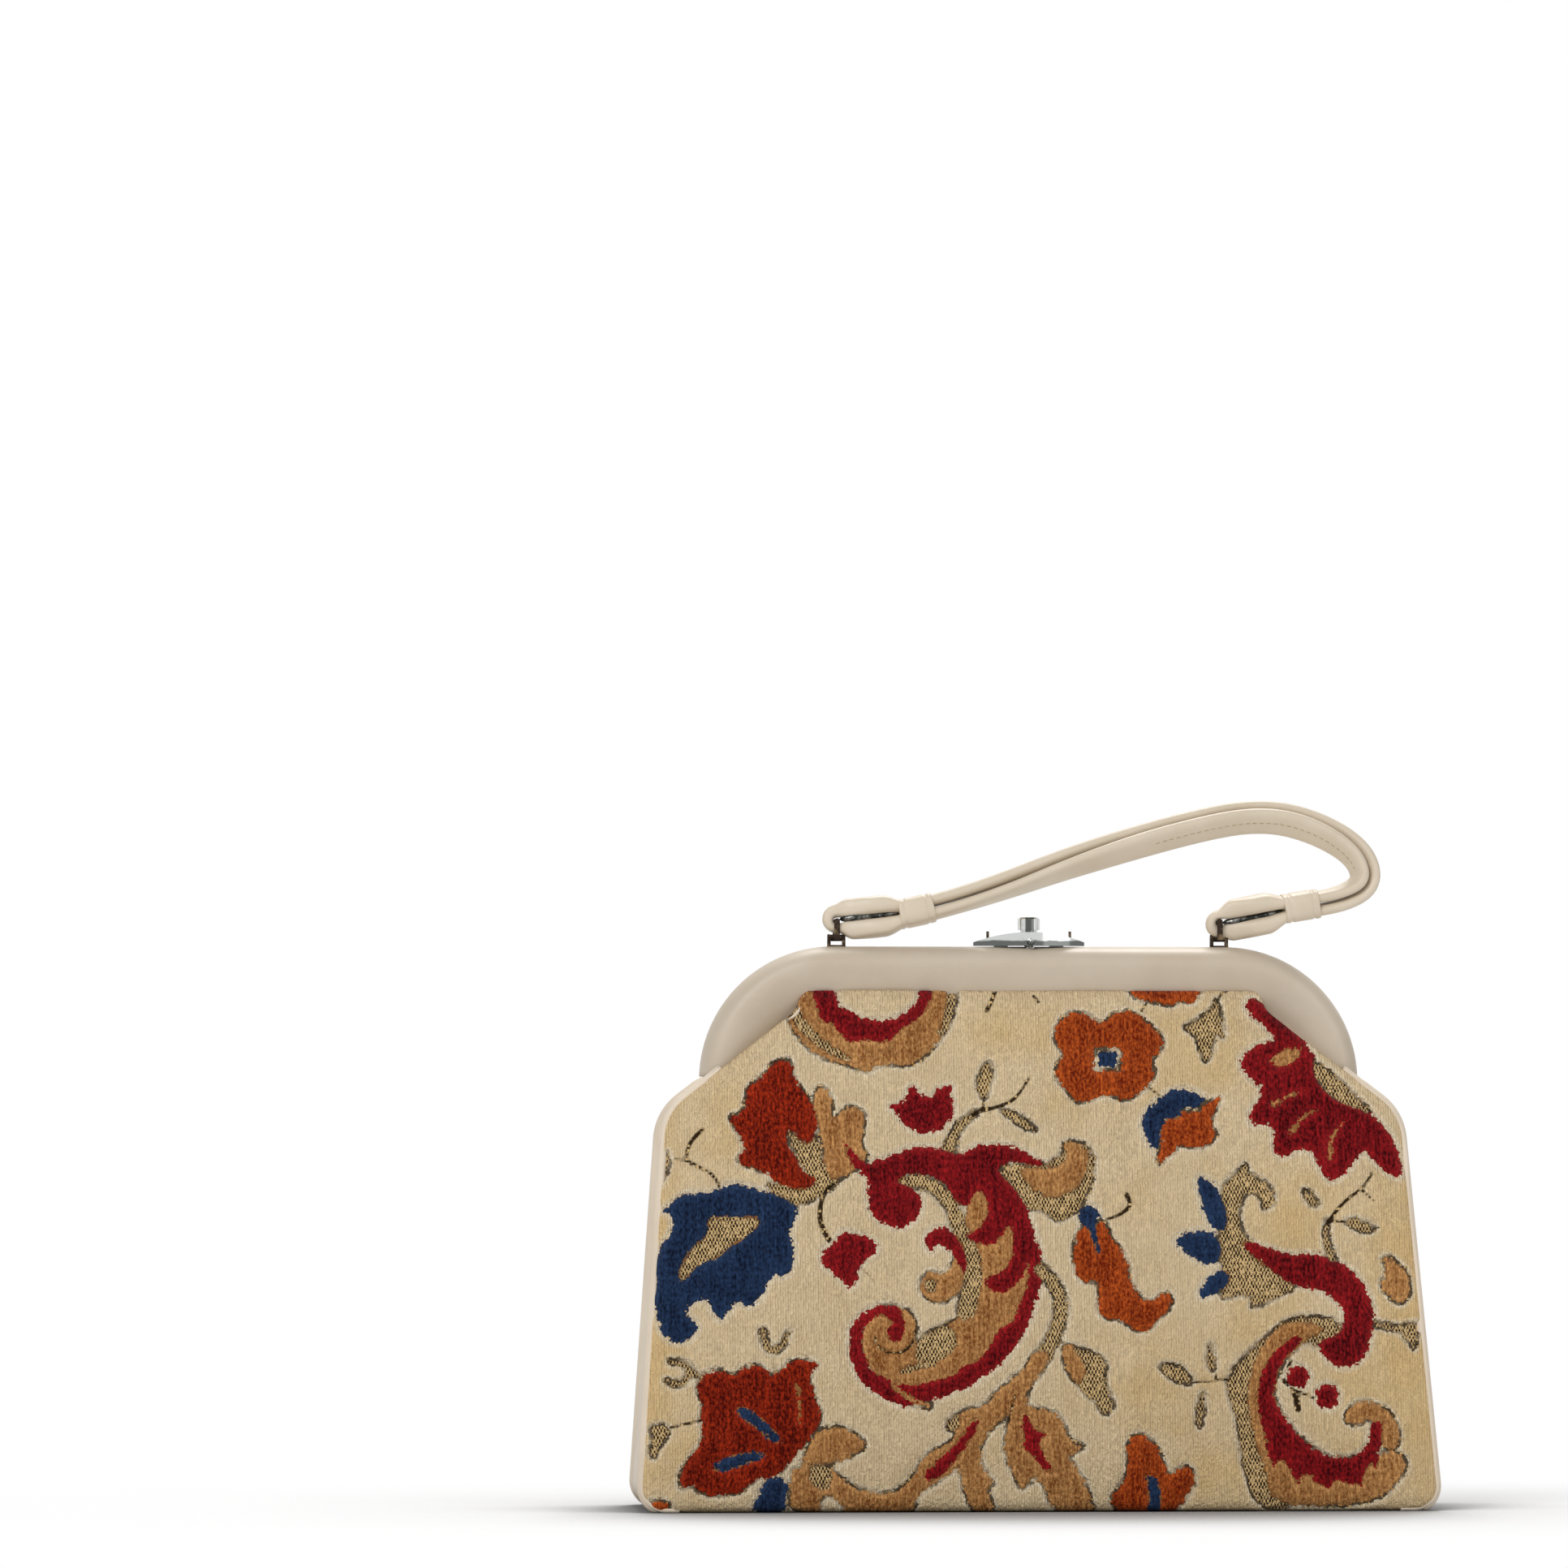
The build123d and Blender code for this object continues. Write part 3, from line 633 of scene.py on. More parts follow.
@dataclass(frozen=True)
class Stroke:
    """A drawn line of one dye, from one width to another."""

    dye: Dye
    points: Sequence[Pair]
    width: float = 4.0
    end_width: float = 0.0

    def outline(self) -> np.ndarray:
        """Return the rounded middle line."""
        return soften(self.points, 2, False)

    def distance(self, x: np.ndarray, y: np.ndarray) -> np.ndarray:
        """Measure points against the line's edge.

        Args:
            x, y: the points.

        Returns:
            Their distances to it, negative inside.
        """
        line = self.outline()
        marks = measured(line)
        widths = (self.width, self.end_width or self.width)
        nearest = np.full(x.shape, np.inf)
        for start, end, gone, length in zip(line, line[1:], marks, np.diff(marks)):
            share, away = to_stretch(x, y, start, end)
            wide = mixed(widths, (gone + share * length) / marks[-1])
            nearest = np.minimum(nearest, away - wide / 2)
        return nearest


@dataclass(frozen=True)
class Disc:
    """A round spot of one dye."""

    dye: Dye
    centre: Pair
    radius: float

    def outline(self) -> np.ndarray:
        """Return the corners of the spot's box."""
        return np.array([[c - self.radius for c in self.centre], [c + self.radius for c in self.centre]])

    def distance(self, x: np.ndarray, y: np.ndarray) -> np.ndarray:
        """Return the distance to the rim, negative inside."""
        return np.hypot(x - self.centre[0], y - self.centre[1]) - self.radius


# Short names of the dyes for the drawing
H, T, C, R, O, N, L, G = (
    Dye.HATCH, Dye.TAN, Dye.CRIMSON, Dye.RUST, Dye.ORANGE, Dye.NAVY, Dye.LINE, Dye.GROUND,
)
DEEP_DYES = (Dye.CRIMSON, Dye.RUST, Dye.ORANGE, Dye.NAVY)
EDGED_DYES = (Dye.TAN, Dye.HATCH, Dye.ORANGE, Dye.RUST)

# Scrolls, flowers and leaves, in the order in which they lie on one another
MOTIFS: tuple[Field | Stroke | Disc, ...] = (
    # Half flower under the frame
    Field(T, (
        (965, 1205), (969, 1248), (984, 1276), (1010, 1300), (1035, 1308), (1052, 1312), (1070, 1321), (1084, 1311),
        (1099, 1310), (1118, 1313), (1133, 1306), (1150, 1292), (1163, 1276), (1172, 1252), (1182, 1205),
    )),
    Stroke(H, ((972, 1212), (978, 1240), (996, 1268), (1020, 1288), (1046, 1302)), 16, 8),
    Stroke(H, ((1178, 1212), (1174, 1244), (1164, 1268)), 12, 8),
    Field(C, (
        (1003, 1205), (1005, 1232), (1013, 1254), (1032, 1261), (1045, 1283), (1067, 1278), (1096, 1284), (1112, 1265),
        (1134, 1253), (1150, 1232), (1153, 1205),
    )),
    Field(G, (
        (1032, 1205), (1032, 1234), (1048, 1243), (1067, 1254), (1099, 1255), (1121, 1242), (1134, 1232), (1134, 1205),
    )),
    Stroke(L, ((1231, 1215), (1226, 1229), (1219, 1242)), 5),
    Stroke(L, ((1278, 1222), (1284, 1231)), 4),
    # Rust leaf with its void and the lobed leaf beside it
    Field(H, (
        (968, 1380), (987, 1410), (1008, 1396), (1016, 1440), (1038, 1455), (1018, 1471), (990, 1488), (962, 1476),
        (941, 1455), (978, 1464), (1004, 1452), (988, 1440),
    )),
    Field(T, (
        (1010, 1335), (1022, 1342), (1028, 1359), (1026, 1380), (1036, 1371), (1046, 1362), (1062, 1364), (1068, 1379),
        (1064, 1398), (1061, 1410), (1073, 1426), (1051, 1445), (1035, 1455), (1019, 1449), (1013, 1407), (1008, 1379),
        (1002, 1357),
    )),
    Field(R, (
        (976, 1302), (979, 1327), (997, 1350), (1006, 1372), (1008, 1391), (1000, 1410), (987, 1407), (972, 1388),
        (968, 1404), (984, 1430), (990, 1445), (1010, 1453), (1000, 1465), (978, 1466), (959, 1458), (939, 1442),
        (917, 1436), (908, 1430), (920, 1412), (911, 1398), (897, 1373), (918, 1371), (920, 1337), (939, 1327),
        (952, 1308), (965, 1304),
    )),
    # Tulip and the vine beside it
    Field(C, (
        (1094, 1363), (1116, 1357), (1123, 1334), (1134, 1342), (1145, 1355), (1160, 1338), (1177, 1335), (1174, 1350),
        (1179, 1372), (1166, 1388), (1148, 1396), (1128, 1394), (1112, 1382), (1105, 1369),
    )),
    Stroke(H, ((1172, 1420), (1175, 1402), (1186, 1384), (1204, 1371)), 14, 7),
    Stroke(L, ((1200, 1373), (1210, 1368), (1236, 1363), (1255, 1353), (1271, 1327)), 6, 3),
    Field(H, ((1221, 1303), (1227, 1322), (1222, 1342), (1214, 1356), (1207, 1340), (1206, 1325))),
    Field(H, ((1232, 1364), (1252, 1370), (1270, 1382), (1284, 1396), (1262, 1390), (1246, 1378))),
    Stroke(L, ((1216, 1352), (1212, 1368)), 3),
    # Main scroll: the voids and the tan body first, then the crimson C
    Field(T, (
        (1191, 1500), (1195, 1478), (1207, 1464), (1224, 1478), (1252, 1500), (1274, 1548), (1272, 1600), (1250, 1640),
        (1215, 1685), (1160, 1712), (1110, 1714), (1072, 1694), (1060, 1655), (1070, 1625), (1098, 1609), (1120, 1616),
        (1130, 1632), (1131, 1652), (1126, 1662), (1150, 1650), (1172, 1632), (1192, 1618), (1203, 1590), (1204, 1560),
        (1196, 1530),
    )),
    Stroke(H, (
        (1107, 1455), (1132, 1455), (1150, 1461), (1166, 1475), (1178, 1491), (1182, 1514), (1196, 1540), (1202, 1562),
        (1199, 1590), (1191, 1617),
    ), 14, 22),
    Field(H, (
        (1131, 1652), (1150, 1641), (1170, 1634), (1179, 1646), (1181, 1660), (1168, 1672), (1150, 1682), (1126, 1677),
        (1131, 1664),
    )),
    Stroke(H, ((1112, 1692), (1130, 1686), (1152, 1680)), 6, 8),
    Stroke(L, ((1130, 1640), (1124, 1662), (1104, 1672), (1084, 1664), (1078, 1650)), 3.5),
    Field(C, (
        (1038, 1402), (1051, 1420), (1066, 1433), (1080, 1431), (1102, 1424), (1118, 1415), (1143, 1413), (1168, 1417),
        (1189, 1424), (1201, 1413), (1221, 1411), (1240, 1410), (1258, 1417), (1277, 1427), (1296, 1439), (1286, 1444),
        (1270, 1436), (1253, 1432), (1238, 1436), (1231, 1443), (1247, 1457), (1258, 1470), (1267, 1489), (1272, 1505),
        (1279, 1528), (1284, 1546), (1287, 1571), (1283, 1592), (1276, 1610), (1270, 1631), (1260, 1649), (1249, 1665),
        (1235, 1684), (1217, 1695), (1198, 1709), (1178, 1718), (1155, 1726), (1139, 1732), (1120, 1736), (1107, 1733),
        (1086, 1723), (1063, 1707), (1050, 1682), (1046, 1645), (1054, 1629), (1074, 1613), (1097, 1608), (1111, 1615),
        (1116, 1633), (1113, 1649), (1107, 1657), (1097, 1654), (1093, 1645), (1100, 1636), (1099, 1629), (1088, 1622),
        (1074, 1626), (1065, 1638), (1062, 1656), (1068, 1679), (1077, 1693), (1093, 1700), (1106, 1708), (1118, 1709),
        (1136, 1708), (1155, 1703), (1178, 1698), (1184, 1688), (1201, 1682), (1214, 1670), (1224, 1659), (1226, 1647),
        (1235, 1640), (1251, 1629), (1253, 1617), (1260, 1603), (1266, 1587), (1270, 1556), (1266, 1564), (1258, 1578),
        (1247, 1590), (1235, 1594), (1221, 1592), (1214, 1585), (1217, 1574), (1231, 1573), (1240, 1567), (1247, 1555),
        (1250, 1537), (1249, 1519), (1244, 1507), (1239, 1521), (1231, 1530), (1219, 1537), (1205, 1533), (1192, 1528),
        (1189, 1521), (1201, 1519), (1210, 1513), (1217, 1502), (1220, 1491), (1217, 1477), (1205, 1466), (1198, 1477),
        (1197, 1485), (1187, 1488), (1177, 1480), (1172, 1470), (1164, 1459), (1152, 1451), (1132, 1447), (1116, 1449),
        (1107, 1456), (1120, 1461), (1132, 1470), (1138, 1482), (1134, 1497), (1120, 1513), (1104, 1515), (1086, 1508),
        (1074, 1496), (1069, 1477), (1071, 1454), (1060, 1445), (1046, 1428),
    )),
    Stroke(T, ((1100, 1706), (1110, 1718), (1126, 1729), (1144, 1735)), 6, 7),
    # Inner hook with its tan curl
    Field(T, (
        (1182, 1545), (1190, 1570), (1186, 1592), (1166, 1608), (1148, 1606), (1135, 1594), (1134, 1579), (1146, 1567),
        (1158, 1572), (1170, 1570), (1174, 1556),
    ), 2),
    Field(C, (
        (1139, 1534), (1147, 1516), (1166, 1513), (1185, 1528), (1194, 1556), (1190, 1576), (1182, 1557), (1169, 1540),
        (1156, 1535), (1148, 1547),
    )),
    Field(H, ((1139, 1582), (1147, 1575), (1155, 1581), (1153, 1593), (1144, 1596))),
    # Small flower below the leaf
    Stroke(L, ((1022, 1530), (1010, 1508), (1012, 1477), (1028, 1458)), 7, 5),
    Field(C, (
        (1046, 1519), (1064, 1525), (1084, 1535), (1077, 1548), (1066, 1554), (1058, 1567), (1051, 1592), (1036, 1577),
        (1011, 1558), (1016, 1538), (1029, 1535), (1034, 1522),
    )),
    Stroke(L, ((1062, 1564), (1078, 1581)), 3.5, 2),
    # Tan branch at the right of the scroll
    Field(H, (
        (1290, 1440), (1330, 1405), (1352, 1420), (1350, 1458), (1334, 1489), (1306, 1510), (1292, 1494), (1268, 1490),
        (1256, 1468), (1234, 1446), (1240, 1437), (1256, 1434),
    )),
    Field(T, (
        (1258, 1438), (1299, 1441), (1315, 1431), (1318, 1420), (1308, 1412), (1324, 1405), (1339, 1411), (1346, 1428),
        (1341, 1450), (1325, 1470), (1299, 1478), (1278, 1470), (1262, 1452),
    ), 2),
    # Navy leaf with its woven midrib
    Field(N, (
        (813, 1490), (828, 1484), (841, 1471), (860, 1469), (876, 1471), (892, 1462), (904, 1458), (917, 1461),
        (933, 1466), (965, 1474), (984, 1489), (981, 1503), (973, 1519), (979, 1541), (978, 1560), (968, 1577),
        (953, 1570), (946, 1583), (939, 1602), (923, 1613), (909, 1602), (901, 1614), (888, 1631), (878, 1614),
        (870, 1599), (855, 1605), (842, 1621), (856, 1627), (861, 1640), (850, 1654), (831, 1657), (815, 1643),
        (812, 1624), (803, 1602), (810, 1586), (804, 1562), (812, 1540), (828, 1520), (831, 1500),
    )),
    Field(H, (
        (872, 1500), (900, 1500), (944, 1501), (919, 1525), (899, 1536), (888, 1549), (862, 1556), (842, 1580),
        (836, 1570), (853, 1538), (876, 1520),
    )),
    # Vines at the left
    Stroke(L, ((888, 1463), (879, 1446), (853, 1434), (845, 1428), (850, 1407), (866, 1391)), 4, 5),
    Stroke(L, ((847, 1430), (831, 1428)), 3.5),
    Field(H, ((823, 1415), (826, 1432), (820, 1452), (810, 1462), (812, 1438))),
    Stroke(H, ((941, 1643), (944, 1660), (956, 1667), (966, 1660), (972, 1644)), 8, 5),
    Stroke(L, ((955, 1667), (954, 1694)), 3),
    # Four-petal flower
    Field(O, (
        (1304, 1262), (1319, 1245), (1336, 1243), (1351, 1249), (1361, 1260), (1375, 1245), (1400, 1241), (1415, 1252),
        (1429, 1265), (1442, 1281), (1433, 1294), (1424, 1307), (1430, 1324), (1413, 1343), (1390, 1357), (1369, 1347),
        (1351, 1353), (1332, 1360), (1319, 1345), (1305, 1329), (1304, 1311), (1317, 1298), (1303, 1281),
    )),
    Field(G, ((1352, 1289), (1386, 1289), (1386, 1318), (1352, 1318)), 0),
    Field(N, ((1358, 1294), (1381, 1294), (1381, 1313), (1358, 1313)), 0),
    # Navy and orange bud
    Stroke(L, ((1420, 1338), (1436, 1350)), 3),
    Field(O, (
        (1494, 1356), (1513, 1350), (1504, 1363), (1497, 1382), (1506, 1395), (1498, 1409), (1478, 1416), (1457, 1410),
        (1446, 1426), (1428, 1437), (1436, 1408), (1433, 1386), (1456, 1366), (1478, 1372),
    )),
    Field(N, (
        (1433, 1353), (1449, 1342), (1470, 1340), (1492, 1351), (1480, 1365), (1462, 1363), (1458, 1378), (1442, 1376),
        (1434, 1392), (1431, 1422), (1415, 1402), (1410, 1382), (1420, 1364),
    )),
    # Flower cut by the frame, and the void leaf beside it
    Field(O, (
        (1396, 1205), (1398, 1220), (1407, 1227), (1433, 1231), (1449, 1237), (1462, 1228), (1476, 1233), (1487, 1220),
        (1487, 1205),
    )),
    Stroke(L, ((1420, 1230), (1412, 1243)), 3),
    Field(H, (
        (1506, 1222), (1503, 1238), (1478, 1255), (1463, 1264), (1481, 1273), (1485, 1294), (1492, 1309), (1502, 1288),
        (1504, 1268), (1516, 1278), (1514, 1256), (1510, 1238),
    )),
    Stroke(L, ((1508, 1230), (1512, 1220), (1524, 1212)), 4),
    # Crimson fan at the shoulder
    Field(H, ((1620, 1300), (1650, 1318), (1680, 1350), (1702, 1370), (1668, 1362), (1640, 1343))),
    Field(C, (
        (1548, 1222), (1572, 1234), (1597, 1255), (1618, 1283), (1629, 1298), (1628, 1320), (1641, 1343), (1667, 1359),
        (1693, 1367), (1712, 1382), (1727, 1405), (1737, 1431), (1735, 1454), (1716, 1444), (1703, 1432), (1688, 1414),
        (1670, 1441), (1648, 1458), (1637, 1447), (1631, 1434), (1621, 1413), (1597, 1420), (1584, 1428), (1575, 1415),
        (1576, 1383), (1545, 1387), (1546, 1369), (1565, 1340), (1546, 1327), (1531, 1307), (1550, 1288), (1583, 1277),
        (1563, 1258), (1540, 1239),
    )),
    Field(T, ((1567, 1305), (1590, 1290), (1612, 1288), (1608, 1303), (1586, 1314)), 2),
    Stroke(T, ((1576, 1359), (1596, 1348), (1614, 1343)), 6, 3),
    Stroke(T, ((1598, 1396), (1608, 1378), (1628, 1366)), 5, 3),
    Stroke(T, ((1648, 1426), (1645, 1406), (1662, 1382)), 6, 3),
    # Leaf like an S, with its navy ball
    Stroke(L, ((1362, 1506), (1384, 1498), (1397, 1487), (1391, 1473)), 3, 6),
    Field(O, (
        (1334, 1512), (1325, 1535), (1324, 1551), (1330, 1580), (1351, 1581), (1358, 1592), (1354, 1620), (1368, 1629),
        (1382, 1627), (1400, 1643), (1416, 1643), (1428, 1629), (1447, 1613), (1444, 1594), (1431, 1600), (1416, 1607),
        (1403, 1597), (1395, 1581), (1391, 1558), (1384, 1541), (1371, 1525), (1364, 1504), (1350, 1512),
    )),
    Disc(N, (1344, 1500), 13),
    Stroke(N, ((1346, 1505), (1350, 1524), (1356, 1543)), 10, 4),
    # Navy sprig on its woven scroll
    Field(H, (
        (1510, 1462), (1530, 1444), (1540, 1432), (1545, 1448), (1563, 1454), (1577, 1470), (1573, 1487), (1561, 1492),
        (1559, 1476), (1546, 1466), (1533, 1483), (1531, 1506), (1541, 1530), (1558, 1550), (1584, 1577), (1604, 1588),
        (1578, 1600), (1543, 1617), (1550, 1597), (1528, 1598), (1505, 1604), (1514, 1570), (1502, 1540), (1512, 1500),
    )),
    Field(N, (
        (1477, 1449), (1496, 1456), (1509, 1471), (1518, 1497), (1516, 1519), (1500, 1517), (1489, 1499), (1482, 1473),
    )),
    Field(N, (
        (1448, 1530), (1465, 1520), (1490, 1518), (1509, 1528), (1510, 1551), (1494, 1562), (1475, 1554), (1462, 1544),
    )),
    Field(N, ((1520, 1571), (1517, 1587), (1498, 1599), (1478, 1603), (1485, 1585), (1498, 1571), (1511, 1566))),
    # Right scroll and its vines
    Field(C, (
        (1532, 1528), (1563, 1538), (1595, 1548), (1615, 1545), (1647, 1552), (1672, 1567), (1691, 1594), (1700, 1623),
        (1694, 1648), (1690, 1668), (1674, 1686), (1655, 1689), (1634, 1676), (1626, 1655), (1640, 1640), (1660, 1640),
        (1662, 1620), (1648, 1601), (1624, 1590), (1602, 1587), (1582, 1577), (1563, 1560), (1540, 1543),
    )),
    Stroke(H, ((1648, 1551), (1639, 1528), (1642, 1506)), 9, 5),
    Stroke(L, ((1642, 1508), (1660, 1483), (1688, 1463), (1699, 1444)), 5, 3),
    Stroke(L, ((1684, 1466), (1700, 1480)), 3),
    Stroke(L, ((1643, 1504), (1680, 1509), (1712, 1516)), 4, 2),
    Field(H, ((1662, 1505), (1676, 1502), (1690, 1507), (1704, 1515), (1691, 1521), (1677, 1517))),
    Field(H, ((1609, 1464), (1624, 1470), (1634, 1488), (1618, 1484))),
    Field(T, (
        (1707, 1545), (1725, 1553), (1742, 1570), (1746, 1597), (1730, 1612), (1715, 1598), (1705, 1584), (1716, 1572),
    ), 2),
    Stroke(H, ((1702, 1634), (1728, 1640), (1752, 1636)), 5, 9),
    Field(H, ((1728, 1640), (1754, 1634), (1750, 1668), (1740, 1654))),
    # Lower right scroll in its tan and woven bands
    Field(H, (
        (1642, 1626), (1596, 1624), (1556, 1655), (1514, 1698), (1518, 1728), (1528, 1756), (1535, 1820), (1554, 1862),
        (1600, 1862), (1580, 1700), (1626, 1656), (1664, 1640),
    )),
    Field(T, (
        (1624, 1633), (1598, 1629), (1578, 1637), (1560, 1657), (1546, 1686), (1539, 1725), (1545, 1764), (1560, 1812),
        (1572, 1856), (1640, 1860), (1700, 1852), (1724, 1832), (1740, 1806), (1722, 1788), (1690, 1800), (1650, 1800),
        (1600, 1770), (1580, 1700), (1610, 1654), (1640, 1640),
    )),
    Field(T, (
        (1658, 1752), (1667, 1735), (1684, 1729), (1707, 1734), (1723, 1751), (1730, 1774), (1722, 1794), (1702, 1780),
        (1700, 1760), (1688, 1752), (1672, 1762),
    ), 2),
    Field(C, (
        (1597, 1648), (1572, 1670), (1556, 1693), (1551, 1725), (1557, 1760), (1566, 1790), (1570, 1808), (1585, 1800),
        (1597, 1828), (1612, 1817), (1637, 1835), (1654, 1821), (1677, 1831), (1690, 1807), (1706, 1787), (1708, 1761),
        (1699, 1752), (1690, 1762), (1688, 1784), (1667, 1798), (1634, 1795), (1615, 1782), (1594, 1762), (1574, 1736),
        (1571, 1712), (1584, 1678), (1612, 1652),
    )),
    Field(C, ((1560, 1780), (1583, 1784), (1571, 1811)), 0),
    Field(C, ((1586, 1788), (1613, 1796), (1610, 1812), (1600, 1833), (1592, 1812)), 0),
    Field(C, ((1614, 1804), (1645, 1806), (1646, 1821), (1640, 1837), (1620, 1829)), 0),
    Field(C, ((1650, 1806), (1684, 1800), (1680, 1833), (1655, 1829)), 0),
    Field(C, ((1682, 1798), (1703, 1784), (1700, 1811), (1688, 1806)), 0),
    Field(G, (
        (1618, 1650), (1587, 1677), (1572, 1711), (1576, 1738), (1596, 1764), (1616, 1785), (1638, 1798), (1667, 1800),
        (1688, 1787), (1691, 1766), (1684, 1760), (1664, 1768), (1655, 1750), (1668, 1722), (1660, 1694), (1630, 1682),
    )),
    Stroke(L, ((1584, 1704), (1597, 1714), (1602, 1740)), 6, 8),
    Stroke(L, ((1598, 1716), (1622, 1726)), 4),
    Disc(C, (1602, 1700), 14),
    Disc(C, (1638, 1724), 15),
    Stroke(L, ((1590, 1688), (1594, 1680)), 4),
    # Sprig at the right of the middle
    Field(H, ((1428, 1684), (1450, 1684), (1464, 1694), (1474, 1710), (1452, 1706), (1438, 1698))),
    Field(H, ((1492, 1654), (1499, 1674), (1499, 1695), (1489, 1684))),
    Field(H, ((1484, 1712), (1487, 1740), (1480, 1768), (1475, 1745))),
    Stroke(L, ((1470, 1706), (1500, 1705), (1516, 1702)), 3),
    Stroke(L, ((1498, 1692), (1502, 1704)), 3),
    # Lily with its tan leaf and the stems along the bottom
    Field(T, (
        (1291, 1667), (1288, 1690), (1271, 1710), (1267, 1721), (1250, 1741), (1241, 1749), (1224, 1761), (1210, 1780),
        (1208, 1803), (1215, 1817), (1227, 1831), (1218, 1836), (1221, 1850), (1229, 1870), (1202, 1870), (1189, 1842),
        (1184, 1820), (1182, 1808), (1173, 1817), (1151, 1831), (1135, 1841), (1128, 1856), (1124, 1870), (975, 1870),
        (974, 1825), (980, 1808), (1026, 1808), (1033, 1820), (1053, 1834), (1072, 1841), (1095, 1843), (1112, 1836),
        (1128, 1817), (1142, 1794), (1156, 1787), (1176, 1777), (1177, 1766), (1168, 1761), (1179, 1745), (1196, 1738),
        (1215, 1735), (1224, 1721), (1243, 1705), (1260, 1693), (1271, 1676),
    )),
    Field(G, ((1013, 1844), (1028, 1846), (1040, 1858), (1042, 1870), (1010, 1870))),
    Field(H, ((998, 1806), (1022, 1806), (1027, 1826), (1018, 1838), (1006, 1834), (998, 1822))),
    Field(H, ((1164, 1762), (1178, 1744), (1186, 1752), (1178, 1768))),
    Field(C, (
        (1207, 1752), (1204, 1763), (1193, 1780), (1179, 1800), (1162, 1820), (1145, 1828), (1138, 1820), (1151, 1806),
        (1168, 1792), (1184, 1772), (1198, 1756),
    )),
    Field(T, ((1008, 1762), (1045, 1760), (1072, 1784), (1051, 1795), (1035, 1805), (984, 1808), (1000, 1779))),
    Field(T, (
        (1257, 1719), (1249, 1733), (1243, 1752), (1238, 1780), (1241, 1803), (1252, 1822), (1257, 1838), (1269, 1831),
        (1277, 1822), (1288, 1836), (1294, 1856), (1308, 1868), (1350, 1868), (1347, 1856), (1339, 1831), (1328, 1814),
        (1316, 1797), (1333, 1790), (1339, 1786), (1322, 1780), (1316, 1772), (1308, 1749), (1291, 1740), (1269, 1738),
        (1266, 1721),
    )),
    Stroke(L, ((1252, 1722), (1246, 1742), (1243, 1756)), 3),
    Field(C, (
        (1263, 1744), (1269, 1752), (1277, 1766), (1294, 1769), (1280, 1777), (1285, 1797), (1301, 1817), (1291, 1818),
        (1274, 1797), (1260, 1786), (1263, 1772), (1259, 1758),
    )),
    Stroke(H, ((1284, 1566), (1305, 1588), (1311, 1615), (1301, 1650), (1284, 1678)), 13, 18),
    Field(H, (
        (1322, 1660), (1345, 1668), (1366, 1680), (1361, 1709), (1376, 1734), (1362, 1750), (1350, 1728), (1335, 1719),
        (1318, 1690),
    )),
    Field(T, ((1310, 1655), (1326, 1662), (1342, 1690), (1330, 1714), (1312, 1686)), 2),
    Field(T, ((1266, 1676), (1284, 1664), (1296, 1672), (1284, 1697), (1264, 1716)), 2),
    Field(N, ((942, 1822), (972, 1822), (968, 1872), (926, 1872))),
    Field(R, (
        (861, 1702), (872, 1692), (888, 1689), (904, 1698), (917, 1687), (936, 1683), (946, 1690), (955, 1698),
        (971, 1681), (987, 1676), (1010, 1680), (999, 1697), (1003, 1719), (1014, 1744), (1010, 1760), (1000, 1773),
        (984, 1792), (968, 1811), (952, 1824), (936, 1821), (920, 1838), (892, 1845), (869, 1844), (853, 1830),
        (839, 1838), (838, 1818), (850, 1799), (869, 1776), (863, 1751), (868, 1735), (859, 1712),
    )),
    Field(N, ((906, 1737), (920, 1735), (939, 1750), (967, 1777), (949, 1778), (935, 1762), (915, 1749))),
    Field(N, ((877, 1809), (901, 1794), (941, 1790), (944, 1798), (914, 1807), (890, 1816))),
    Stroke(T, ((982, 1708), (986, 1730), (986, 1754)), 4, 3),
    # Flower at the bottom and the bits beside the edges
    Field(O, (
        (1390, 1774), (1410, 1770), (1426, 1784), (1436, 1805), (1442, 1823), (1454, 1812), (1467, 1808), (1474, 1826),
        (1468, 1842), (1452, 1862), (1448, 1872), (1384, 1872), (1366, 1848), (1384, 1833), (1390, 1813),
    )),
    Field(N, ((1412, 1819), (1426, 1825), (1432, 1846), (1428, 1872), (1416, 1872), (1417, 1838))),
    Stroke(H, ((864, 1700), (853, 1690), (842, 1680), (828, 1679)), 5, 6),
    Stroke(H, ((852, 1688), (848, 1701), (836, 1709), (822, 1702)), 7, 4),
    Field(H, ((800, 1758), (822, 1756), (826, 1770), (814, 1784), (808, 1800), (801, 1790), (808, 1774))),
    Stroke(L, ((858, 1696), (866, 1702)), 3),
    Stroke(L, ((825, 1761), (845, 1756), (866, 1752)), 3.5),
    Field(O, ((797, 1850), (826, 1850), (826, 1866), (797, 1866))),
)

# Soft patches where the ground turns golden: middle, half sizes and strength
GOLD_PATCHES: tuple[tuple[float, float, float, float, float], ...] = (
    (800, 1600, 55, 320, 0.9), (900, 1380, 70, 90, 0.5), (860, 1790, 90, 70, 0.6), (1480, 1290, 90, 90, 0.7),
    (1740, 1640, 60, 260, 0.95), (1600, 1500, 110, 90, 0.7), (1560, 1620, 90, 70, 0.6), (1430, 1720, 120, 110, 0.55),
    (1680, 1720, 80, 110, 0.7), (1500, 1820, 90, 50, 0.7), (1250, 1270, 110, 40, 0.6), (1330, 1360, 60, 50, 0.35),
    (1010, 1700, 70, 60, 0.3), (1200, 1800, 80, 60, 0.3), (1390, 1470, 60, 60, 0.3),
)


